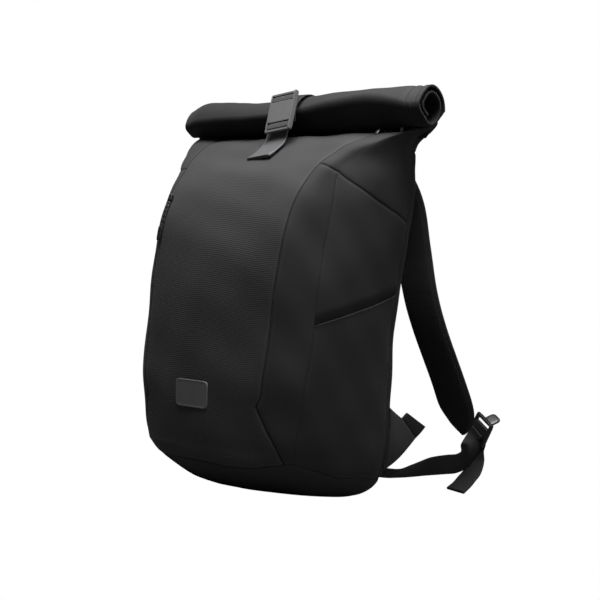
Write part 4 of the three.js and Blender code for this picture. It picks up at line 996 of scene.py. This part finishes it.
def tail_rows():
    """The tail's path from behind the buckle to its folded end on the front panel. It hangs through places
    given as x, out, down and swing, and rests at levels of the panel with a thickness and a lift."""
    start, top = strap_front[1] + TAPE_THICK / 2, strap_front[2] - TAIL_START
    rows = [(x, start - out, top - down, swing, TAIL_RISE, TAPE_WIDTH, TAPE_THICK)
            for x, out, down, swing in TAIL_HANGS]
    for level, thick, lift in TAIL_RESTS:
        point = on_skin(0, level, lift + thick / 2)
        rows.append((TAIL_X, point[1], point[2], 0, TAIL_RISE, TAPE_WIDTH, thick))
    return rows


# The tail is the closure webbing in its copy with painted light: the same tape, painted paler where light
# falls on it.
solid_piece("tail_tape", strap(tail_rows(), 90), lit_closure_tape, "webbing", "strap_tail")

# %% [markdown]
# Hard parts are built from rounded bars. A superellipsoid is a ball whose sines and cosines are brought to
# a low power, which makes it nearly a box, so its edges stay soft like moulded plastic.

# %% Rounded bars


def power(value, share):
    """A signed power, which squares up a sine or a cosine."""
    return np.sign(value) * np.abs(value) ** share


def bar(centre, half, squareness=0.22, tilt=0.0, count=26):
    """A superellipsoid with half sizes along x, y and z, turned about x by tilt degrees."""
    v, u = grid(np.linspace(-np.pi / 2, np.pi / 2, count), np.linspace(-np.pi, np.pi, 2 * count + 1))
    x = power(np.cos(v), squareness) * power(np.cos(u), squareness)
    y = power(np.cos(v), squareness) * power(np.sin(u), squareness)
    z = power(np.sin(v), squareness)
    points = np.stack([x, y, z], -1) * half
    turn = math.radians(tilt)
    y, z = points[..., 1].copy(), points[..., 2].copy()
    points[..., 1] = y * math.cos(turn) - z * math.sin(turn)
    points[..., 2] = y * math.sin(turn) + z * math.cos(turn)
    points = points + np.asarray(centre)
    uv = np.stack([points[..., 0] + points[..., 1], points[..., 2]], -1)
    return points.reshape(-1, 3), quads(count, 2 * count + 1), uv.reshape(-1, 2)


def turned(shape, roll, tilt, swing, place):
    """A shape turned in its own plane, then leaned, then swung about the upright, all in degrees, and moved
    to a place."""
    points, faces, uv = shape
    (c, s), (cl, sl), (cu, su) = [(math.cos(math.radians(a)), math.sin(math.radians(a)))
                                  for a in (roll, tilt, swing)]
    in_plane = np.array([(c, 0, s), (0, 1, 0), (-s, 0, c)])
    lean = np.array([(1, 0, 0), (0, cl, -sl), (0, sl, cl)])
    round_up = np.array([(cu, -su, 0), (su, cu, 0), (0, 0, 1)])
    return points @ (round_up @ lean @ in_plane).T + place, faces, uv


# %% [markdown]
# The buckle is a frame with a wide plate across it. It leans and is turned a little, as the pull of the
# roll leaves it. The tape shows where it wraps round the upper and the lower bar.

# %% Buckle
BUCKLE_WIDTH, BUCKLE_HEIGHT, BUCKLE_THICK, BUCKLE_SLOT, BUCKLE_BAR = 43, 48, 4, 6, 5
BUCKLE_ROLL, BUCKLE_TILT, BUCKLE_SWING = -5, -12, -6
BUCKLE_X, BUCKLE_OFF, BUCKLE_DOWN = 2, 3.2, 1
BUCKLE_PLACE = np.array([BUCKLE_X, strap_front[1] - BUCKLE_OFF - BUCKLE_THICK / 2,
                         strap_front[2] - BUCKLE_DOWN])
RAIL, RAIL_RAISED, RAIL_SQUARE = 2.2, 1.0, 0.18
END_HALF, END_INSET = 1.4, 0.3
PLATE_PLACE, PLATE_INSET, PLATE_SQUARE = (-0.9, -0.3, 0.5), 0.5, 0.12
WRAP_INSET, WRAP_HALF, WRAP_OFF, WRAP_SQUARE, WRAP_DOWN = 0.4, 3.4, -0.2, 0.4, 7.2
UPPER_WRAP, LOWER_WRAP = 1.9, 1.6


def at_buckle(shape):
    """A shape made round the origin, in the buckle's own leaning plane."""
    return turned(shape, BUCKLE_ROLL, BUCKLE_TILT, BUCKLE_SWING, BUCKLE_PLACE)


def buckle_shape():
    """A flush left rail, a raised right one, and two end bars, with a wide plate between two slots."""
    high, thick = BUCKLE_HEIGHT / 2, BUCKLE_THICK / 2
    apart = (BUCKLE_WIDTH - RAIL) / 2
    rails = [bar((side * apart, -raised, 0), (RAIL / 2, thick + raised, high), RAIL_SQUARE)
             for side, raised in ((-1, 0), (1, RAIL_RAISED))]
    ends = [bar((0, 0, side * (high - END_HALF)), (BUCKLE_WIDTH / 2 - END_INSET, thick, END_HALF))
            for side in (-1, 1)]
    plate_half = (BUCKLE_WIDTH / 2 - RAIL - PLATE_INSET, thick, high - BUCKLE_BAR - BUCKLE_SLOT)
    return at_buckle(joined(*rails, *ends, bar(PLATE_PLACE, plate_half, PLATE_SQUARE)))


def wrapped_bar(height, thick):
    """Tape wrapped round a cross bar: a long soft bar across the buckle."""
    half = (TAPE_WIDTH / 2 - WRAP_INSET, thick, WRAP_HALF)
    return at_buckle(bar((0, WRAP_OFF, height), half, WRAP_SQUARE))


solid_piece("tape_buckle", buckle_shape(), plastic, "buckle_plastic", "closure_buckle")
wrap_height = BUCKLE_HEIGHT / 2 - WRAP_DOWN
wraps = joined(wrapped_bar(wrap_height, UPPER_WRAP), wrapped_bar(-wrap_height, LOWER_WRAP))
# The wraps also use the copy of the closure webbing painted paler, as the light on it.
solid_piece("wrapped_tape", wraps, lit_closure_tape, "webbing")

# %% [markdown]
# The label is a bare moulded patch with rounded corners and a raised rim, pressed on to the front cloth.

# %% Label
LABEL_WIDTH, LABEL_HEIGHT, LABEL_THICK, LABEL_Z = 50, 30, 1.4, 101
LABEL_SEAT, SIDE_SQUARE, TOP_SQUARE, NEAR_PLACE = 0.3, 0.18, 0.26, 0.4
LABEL_SIZE_LIFT = ((0, 1), (0.3, 1), (0.6, 1), (0.8, 1), (0.88, 1), (0.93, 1.25), (0.96, 1.3), (0.985, 1.1),
                   (1, 0.7), (1, 0))


def label_shape():
    """A rounded rectangle over the front skin: squared circles of growing size, with a share of the
    thickness at each, which rises to a rim."""
    size, lift = np.array(LABEL_SIZE_LIFT, float).T
    angle = np.linspace(0, 2 * np.pi, 97)
    s, a = grid(size, angle)
    cx = power(np.cos(a), SIDE_SQUARE) * (LABEL_WIDTH / 2)
    cz = power(np.sin(a), TOP_SQUARE) * (LABEL_HEIGHT / 2)
    x, z = cx * s, cz * s + LABEL_Z
    per_place = skin(NEAR_PLACE, LABEL_Z / HEIGHT)[0] / NEAR_PLACE
    place, level = x / per_place, z / HEIGHT
    seat, normal = skin(place, level), skin_normal(place, level)
    top = seat + normal * (LABEL_SEAT + LABEL_THICK * lift[:, None, None])
    under = (seat + normal * LABEL_SEAT)[::-1]
    points = np.concatenate([top, under[1:]])
    uv = np.concatenate([np.stack([x, z], -1)] * 2)[:len(points)]
    faces = quads(len(points), len(angle), flip=True)
    return points.reshape(-1, 3), faces, uv.reshape(-1, 2)


solid_piece("label_bare", label_shape(), rubber, "label_rubber", "label_patch")

# %% [markdown]
# Zip pulls. The long one hangs on the left front seam: a dark moulded slider, two braided cords and a tab.
# Two small ones peep out under the roll, one dark with a metal stud and one of metal.

# %% Zip pulls
BRAID, BRAID_RATE, CORD_ASIDE = 0.12, 0.9, (0.3, 0.2, 1.0)


def cord_tube(points, radius, count=40, around=12):
    """A round cord through a few points."""
    points = np.array(points, float)
    path = smooth(np.linspace(0, 1, len(points)), points, np.linspace(0, 1, count))
    ahead = unit(np.gradient(path, axis=0))
    side = unit(np.cross(ahead, np.array(CORD_ASIDE)))
    other = np.cross(ahead, side)
    angle = np.linspace(0, 2 * np.pi, around, endpoint=False)
    braid = 1 + BRAID * np.sin(np.linspace(0, count * BRAID_RATE, count))[:, None]
    ring = path[:, None] + radius * braid[..., None] * (np.cos(angle)[None, :, None] * side[:, None]
                                                        + np.sin(angle)[None, :, None] * other[:, None])
    return tube(ring)


PULL_PLACE, PULL_LEVELS = -0.88, (0.765, 0.75, 0.73, 0.71, 0.69)
PULL_OFF, CORD_RADIUS, CORD_APART = 2.4, 1.1, 1.3
PULL_COLUMNS = ("place", "level", "off", "half", "squareness", "tilt")
SEAM_BARS = ((PULL_PLACE, 0.777, PULL_OFF, (2.8, 2.2, 4.6), 0.5, -16),
             (PULL_PLACE, 0.674, PULL_OFF, (2.8, 1.7, 8.5), 0.35, -6))
TOP_BARS = ((0.94, 0.991, 1.7, (2.6, 1.8, 2.2), 0.6, 0), (1.02, 0.985, 1.7, (2.4, 1.4, 4.0), 0.5, -35),
            (1.03, 0.991, 1.5, (1.3, 1.0, 1.3), 0.7, 0), (1.1, 0.991, 1.5, (1.3, 1.0, 1.3), 0.7, 0))
STUD_BARS = ((0.92, 0.992, 3.4, (1.3, 0.9, 1.3), 0.9, 0),)
END_BARS = ((1.28, 0.992, 1.5, (1.8, 1.2, 2.6), 0.5, 0), (1.42, 0.996, 1.5, (1.3, 1.0, 2.2), 0.5, 0))


def bars_on_skin(table):
    """Rounded bars on the skin, from rows with PULL_COLUMNS."""
    rows = [dict(zip(PULL_COLUMNS, row)) for row in table]
    return [bar(on_skin(r["place"], r["level"], r["off"]), r["half"], r["squareness"], r["tilt"])
            for r in rows]


spine = [on_skin(PULL_PLACE, level, PULL_OFF) for level in PULL_LEVELS]
cords = [cord_tube([p + np.array([side * CORD_APART, 0, 0]) for p in spine], CORD_RADIUS)
         for side in (-1, 1)]
seam_pull = joined(*cords, *bars_on_skin(SEAM_BARS))
top_pull, stud, end_pull = [joined(*bars_on_skin(table)) for table in (TOP_BARS, STUD_BARS, END_BARS)]
solid_piece("seam_pull", seam_pull, dark_plastic, "buckle_plastic", "zip_pull_seam")
solid_piece("top_pull", top_pull, dark_plastic, "buckle_plastic", "zip_pull_top")
solid_piece("top_pull_stud", stud, metal, "buckle_plastic")
solid_piece("end_pull", end_pull, metal, "buckle_plastic", "zip_pull_end")

# %% [markdown]
# The shoulder straps are foam pads covered in mesh, bowed out behind the back. Their section is a
# superellipse, thick in the middle and thin at the bound edge.

# %% Shoulder straps
PAD_WIDTH, PAD_THICK, PAD_ROOT_OFF = 64, 12, 2.25
pad_root = skin(3.62, 0.944)
PAD_PLACES = (
    (62, pad_root[1] + PAD_ROOT_OFF, pad_root[2], PAD_WIDTH), (62, 112, 392, PAD_WIDTH),
    (69, 142, 380, PAD_WIDTH), (74, 168, 347, PAD_WIDTH), (76, 187, 295, PAD_WIDTH),
    (82, 200, 243, PAD_WIDTH), (90, 216, 199, PAD_WIDTH), (102, 247, 138, PAD_WIDTH),
    (106, 264, 107, PAD_WIDTH), (107, 276, 90, 52.5), (107.5, 283, 80, 37), (108, 287, 72.5, 18),
)
PAD_PATH = [(x, y, z, 0, 0, width, PAD_THICK) for x, y, z, width in PAD_PLACES]
PAD_SQUARE, PAD_ROUND, PAD_CROWN = 0.55, 0.75, 0.12
EDGE_PLACE, EDGE_STEP, EDGE_THIN = 0.84, 0.03, 0.25


def pad_section():
    """A superellipse, crowned in the middle, that thins to a taped edge."""
    angle = np.linspace(0, 2 * np.pi, 72, endpoint=False)
    x = power(np.cos(angle), PAD_SQUARE)
    edge = np.clip((np.abs(x) - EDGE_PLACE) / EDGE_STEP, 0, 1)
    depth = power(np.sin(angle), PAD_ROUND) * (1 - PAD_CROWN * x ** 2) * (1 - EDGE_THIN * edge)
    return np.stack([x, depth, x * 0], -1)


pad_shape = strap(PAD_PATH, 150, pad_section())
for side, shape in (("right", pad_shape), ("left", mirrored(pad_shape))):
    pad = solid_piece(f"strap_pad_{side}", shape, mesh_cloth, "spacer_mesh", f"shoulder_strap_{side}")

# %% [markdown]
# At the pad's end a moulded buckle takes the adjuster webbing. The webbing leaves the foot of the back,
# twists on edge, climbs through the buckle and hangs down as a tail with a folded end. Where it meets the
# buckle its path is worked out from the buckle's own place and turn.

# %% Buckles and webbing
WEBBING, WEBBING_THICK, HEM_THICK = 25, 1.8, 3.6
LOCK = np.array([118, 303, 78])
LOCK_SWING, LOCK_TILT = -16, -28
LOCK_LENGTH, LOCK_WIDTH, LOCK_THICK, LOCK_SLOT, LOCK_BAR = 34, 33, 5, 5, 4
RAIL_GAP, RAIL_OVER, BAR_INSET, LOCK_PLATE_INSET = 1, 0.2, 0.4, 0.6
RAILS_SQUARE, BARS_SQUARE, LOCK_PLATE_SQUARE = 0.35, 0.4, 0.3


def at_lock(shape):
    """A shape made round the origin, tilted in its own plane and swung to the buckle's place."""
    return turned(shape, -LOCK_TILT, 0, LOCK_SWING, LOCK)


def off_lock(distance, rise, tilt=LOCK_TILT):
    """A row of a strap's path behind the buckle's face and up its own length, with the buckle's swing."""
    place = at_lock((np.array([(0, distance, rise)]), None, None))[0][0]
    return (*place, LOCK_SWING, tilt)


def lock_shape():
    """A ladder: two end bars and a plate between two rails."""
    thick = LOCK_THICK / 2
    rail = (LOCK_WIDTH - WEBBING - RAIL_GAP) / 2
    rails = [bar((side * (LOCK_WIDTH - rail) / 2, thick, 0), (rail / 2 + RAIL_OVER, thick, LOCK_LENGTH / 2),
                 RAILS_SQUARE) for side in (-1, 1)]
    bar_half = (LOCK_WIDTH / 2 - BAR_INSET, thick, LOCK_BAR / 2)
    bars = [bar((0, thick, side * (LOCK_LENGTH - LOCK_BAR) / 2), bar_half, BARS_SQUARE) for side in (-1, 1)]
    plate_half = (LOCK_WIDTH / 2 - LOCK_PLATE_INSET, thick, LOCK_LENGTH / 2 - LOCK_BAR - LOCK_SLOT)
    return at_lock(joined(*rails, *bars, bar((0, thick, 0), plate_half, LOCK_PLATE_SQUARE)))


LEVER_LENGTH, LEVER_HALF, LEVER_THICK, LEVER_RISE, LEVER_TURN, LEVER_SQUARE = 8.7, 8.5, 2.0, 2.5, 32, 0.55


def lever_shape():
    """The tab that stands back from the buckle's top, with a rounded end."""
    centre = (0, LOCK_THICK + LEVER_LENGTH, LOCK_LENGTH / 2 - LOCK_BAR + LEVER_RISE)
    return at_lock(bar(centre, (LEVER_HALF, LEVER_LENGTH, LEVER_THICK), LEVER_SQUARE, tilt=LEVER_TURN))


# Rows of both paths are x, y, z, swing and tilt
adjuster_foot = skin(3.2, 0.073)
FOOT_OFF, UNDER_LOCK = 10, -2.7
OVER_LOCK = LOCK_THICK + WEBBING_THICK
ADJUSTER = [
    (adjuster_foot[0], adjuster_foot[1] + FOOT_OFF, adjuster_foot[2], 0, 8), (106, 100, 28, 0, 25),
    (108, 141, 24.1, 0, 30), (108, 168, 26, 0, 44), (108, 190, 28.4, 0, 57), (108, 215, 31.3, 0, 72),
    (107, 251.7, 33, 0, 84), (108, 276, 34.5, 0, 86), (110.5, 291, 43, -10, 92),
    off_lock(UNDER_LOCK, -13, 138), off_lock(UNDER_LOCK, -2, 152),
]
WEB_TAIL = [
    off_lock(OVER_LOCK, 0), off_lock(OVER_LOCK, -LOCK_LENGTH / 2), (114, 307, 51.9, -14, -20),
    (117, 303, 38.6, -8, -12), (120, 292.5, 25, 0, -8), (121, 280.3, 16.6, 6, -6),
    (122.5, 268.9, 10.1, 11, -4), (124, 253.7, 3.4, 15, -4),
]


def webbing_rows(rows, end=WEBBING_THICK):
    """Rows of a path with the webbing's own width and thickness, and a thickness at its end."""
    return [(*row, WEBBING, WEBBING_THICK) for row in rows[:-1]] + [(*rows[-1], WEBBING, end)]


lock, lever = lock_shape(), lever_shape()
adjuster, web_tail = strap(webbing_rows(ADJUSTER), 160), strap(webbing_rows(WEB_TAIL, HEM_THICK), 110)
for side, turn in (("right", lambda shape: shape), ("left", mirrored)):
    solid_piece(f"ladder_buckle_{side}", turn(lock), dark_plastic, "buckle_plastic", f"ladder_lock_{side}")
    solid_piece(f"release_tab_{side}", turn(lever), dark_plastic, "buckle_plastic", f"lock_lever_{side}")
    solid_piece(f"adjuster_tape_{side}", turn(adjuster), tape, "webbing", f"adjuster_webbing_{side}")
    solid_piece(f"hanging_tape_{side}", turn(web_tail), tape, "webbing", f"webbing_tail_{side}")

# %% [markdown]
# The wings are triangles of cloth sewn into the back edge above the foot, each with a loop of webbing on
# its cut tip.

# %% Wings and loops
WING_PLACE, WING_FOOT, WING_HEAD, WING_TIP_X, WING_THICK = 2.6, 0.085, 0.253, 131, 3
WING_OFF, WING_SAG, WING_WAVE = 1.8, 3.5, 0.4
WING_EDGE, WING_EDGE_WIDTH = 0.9, 0.02
LOOP_SEAT, LOOP_SWELL, LOOP_WAVE = 0.3, 0.9, 0.5
LOOP_EDGE, LOOP_EDGE_WIDTH = 0.7, 0.03
SIDEWAYS = np.array([1.0, 0, 0])
WING_HIGH, WING_LOW = np.array([WING_TIP_X, 120.9, 90.8]), np.array([WING_TIP_X, 151.5, 68.3])
LOOP_HIGH, LOOP_LOW = np.array([WING_TIP_X, 132, 97.5]), np.array([WING_TIP_X, 169.7, 81.9])


def near_rim(up, out, width):
    """1 at the rim of a square grid, falling off inwards."""
    return np.exp(-np.minimum(np.minimum(up, 1 - up), np.minimum(out, 1 - out)) / width)


def wing_shape():
    """A ruled surface from the back edge to the cut tip, with a sagging lower edge and a soft wave."""
    up, out = grid(dense(40), dense(50))
    level = mix(WING_FOOT, WING_HEAD, up)
    root = skin(np.full_like(level, WING_PLACE), level)
    root = root + skin_normal(np.full_like(level, WING_PLACE), level) * WING_OFF
    tip = WING_LOW + (WING_HIGH - WING_LOW) * up[..., None]
    outer = mix(root, tip, out[..., None]) + np.array([WING_THICK / 2, 0, 0])
    outer[..., 2] -= WING_SAG * np.sin(np.pi * out) * (1 - up) ** 2
    swell = WING_WAVE * np.sin(out * 5 + up * 3) - WING_EDGE * near_rim(up, out, WING_EDGE_WIDTH)
    outer = outer + SIDEWAYS * swell[..., None]
    normal = np.broadcast_to(SIDEWAYS, outer.shape)
    uv = np.stack([arc_lengths(outer, 1), arc_lengths(outer, 0)], -1)
    return wall(outer, WING_THICK - 1, normal, uv)


def loop_shape():
    """A doubled band sewn along the wing's cut edge: a ruled surface out to its own folded edge."""
    up, out = grid(dense(30), dense(30))
    seat = WING_LOW + (WING_HIGH - WING_LOW) * up[..., None]
    end = LOOP_LOW + (LOOP_HIGH - LOOP_LOW) * up[..., None]
    outer = mix(seat + unit(end - seat) * LOOP_SEAT, end, out[..., None])
    swell = LOOP_SWELL + LOOP_WAVE * np.sin(out * 4 + up) - LOOP_EDGE * near_rim(up, out, LOOP_EDGE_WIDTH)
    normal = np.broadcast_to(SIDEWAYS, outer.shape)
    uv = np.stack([arc_lengths(outer, 1), arc_lengths(outer, 0)], -1)
    return wall(outer + normal * swell[..., None], WEBBING_THICK, normal, uv)


wing, wing_loop = wing_shape(), loop_shape()
for side, turn in (("right", lambda shape: shape), ("left", mirrored)):
    solid_piece(f"foot_wing_{side}", turn(wing), twill, "twill", f"wing_{side}")
    solid_piece(f"foot_loop_{side}", turn(wing_loop), tape, "webbing", f"wing_loop_{side}")

# %% [markdown]
# A white studio. Black cloth shows only through its highlights, so the form comes from one soft lamp over
# the bag and a weak one beside it. The camera sees floor and sky as pure white, while the cloth sees a dim
# room: a Light Path node tells the two apart. With the standard view transform, white stays white.

# %% Floor, world and lamps
bpy.context.scene.view_settings.view_transform = "Standard"
SEEN_WHITE, FLOOR_GREY, FLOOR_ROUGHNESS, FLOOR_HALF = 1.0, 0.12, 0.9, 6
ROOM_LIGHT = 0.06
LAMPS = (("overhead", (0.15, -0.2, 1.25), 0.7, 27), ("side", (1.7, -0.2, 0.9), 0.9, 5))
AIM = np.array([0, 0, 0.22])


def make_floor_material():
    """White to the camera, and a dull grey to the light that bounces."""
    made = bpy.data.materials.new("floor_white")
    made.use_nodes = True
    tree = made.node_tree
    dull = tree.nodes["Principled BSDF"]
    dull.inputs["Base Color"].default_value = (FLOOR_GREY, FLOOR_GREY, FLOOR_GREY, 1)
    dull.inputs["Roughness"].default_value = FLOOR_ROUGHNESS
    glow = tree.nodes.new("ShaderNodeEmission")
    glow.inputs["Strength"].default_value = SEEN_WHITE
    mix_node(tree, dull, glow, tree.nodes["Material Output"])
    return made


def mix_node(tree, dim, bright, output):
    """Shows the bright shader to the camera and the dim one to every other ray."""
    path = tree.nodes.new("ShaderNodeLightPath")
    both = tree.nodes.new("ShaderNodeMixShader")
    tree.links.new(path.outputs["Is Camera Ray"], both.inputs[0])
    tree.links.new(dim.outputs[0], both.inputs[1])
    tree.links.new(bright.outputs[0], both.inputs[2])
    tree.links.new(both.outputs[0], output.inputs["Surface"])


def make_floor():
    """A wide square under the bag."""
    mesh = bpy.data.meshes.new("floor")
    corners = [(x * FLOOR_HALF, y * FLOOR_HALF, 0) for x, y in ((-1, -1), (1, -1), (1, 1), (-1, 1))]
    mesh.from_pydata(corners, [], [(0, 1, 2, 3)])
    mesh.materials.append(make_floor_material())
    floor = bpy.data.objects.new("floor", mesh)
    bpy.context.collection.objects.link(floor)


def make_world():
    """A white sky to the camera, and a dim even one to the cloth."""
    world = bpy.data.worlds.new("studio")
    bpy.context.scene.world = world
    world.use_nodes = True
    tree = world.node_tree
    room = tree.nodes["Background"]
    room.inputs["Color"].default_value = (1, 1, 1, 1)
    room.inputs["Strength"].default_value = ROOM_LIGHT
    seen = tree.nodes.new("ShaderNodeBackground")
    seen.inputs["Color"].default_value = (1, 1, 1, 1)
    seen.inputs["Strength"].default_value = SEEN_WHITE
    mix_node(tree, room, seen, tree.nodes["World Output"])


def lamp(name, place, size, watts):
    """A square area lamp that looks at the middle of the bag."""
    data = bpy.data.lights.new(name, "AREA")
    data.size = size
    data.energy = watts
    made = bpy.data.objects.new(name, data)
    bpy.context.collection.objects.link(made)
    place = np.array(place, float)
    back = unit(place - AIM)
    right = unit(np.cross(np.array([0, 0, 1.0]), back) + np.array([1e-6, 0, 0]))
    matrix = np.eye(4)
    matrix[:3, 0] = right
    matrix[:3, 1] = np.cross(back, right)
    matrix[:3, 2] = back
    matrix[:3, 3] = place
    made.matrix_world = matrix.T.tolist()


make_floor()
make_world()
for name, place, size, watts in LAMPS:
    lamp(name, place, size, watts)
print("lamps", [row[0] for row in LAMPS])
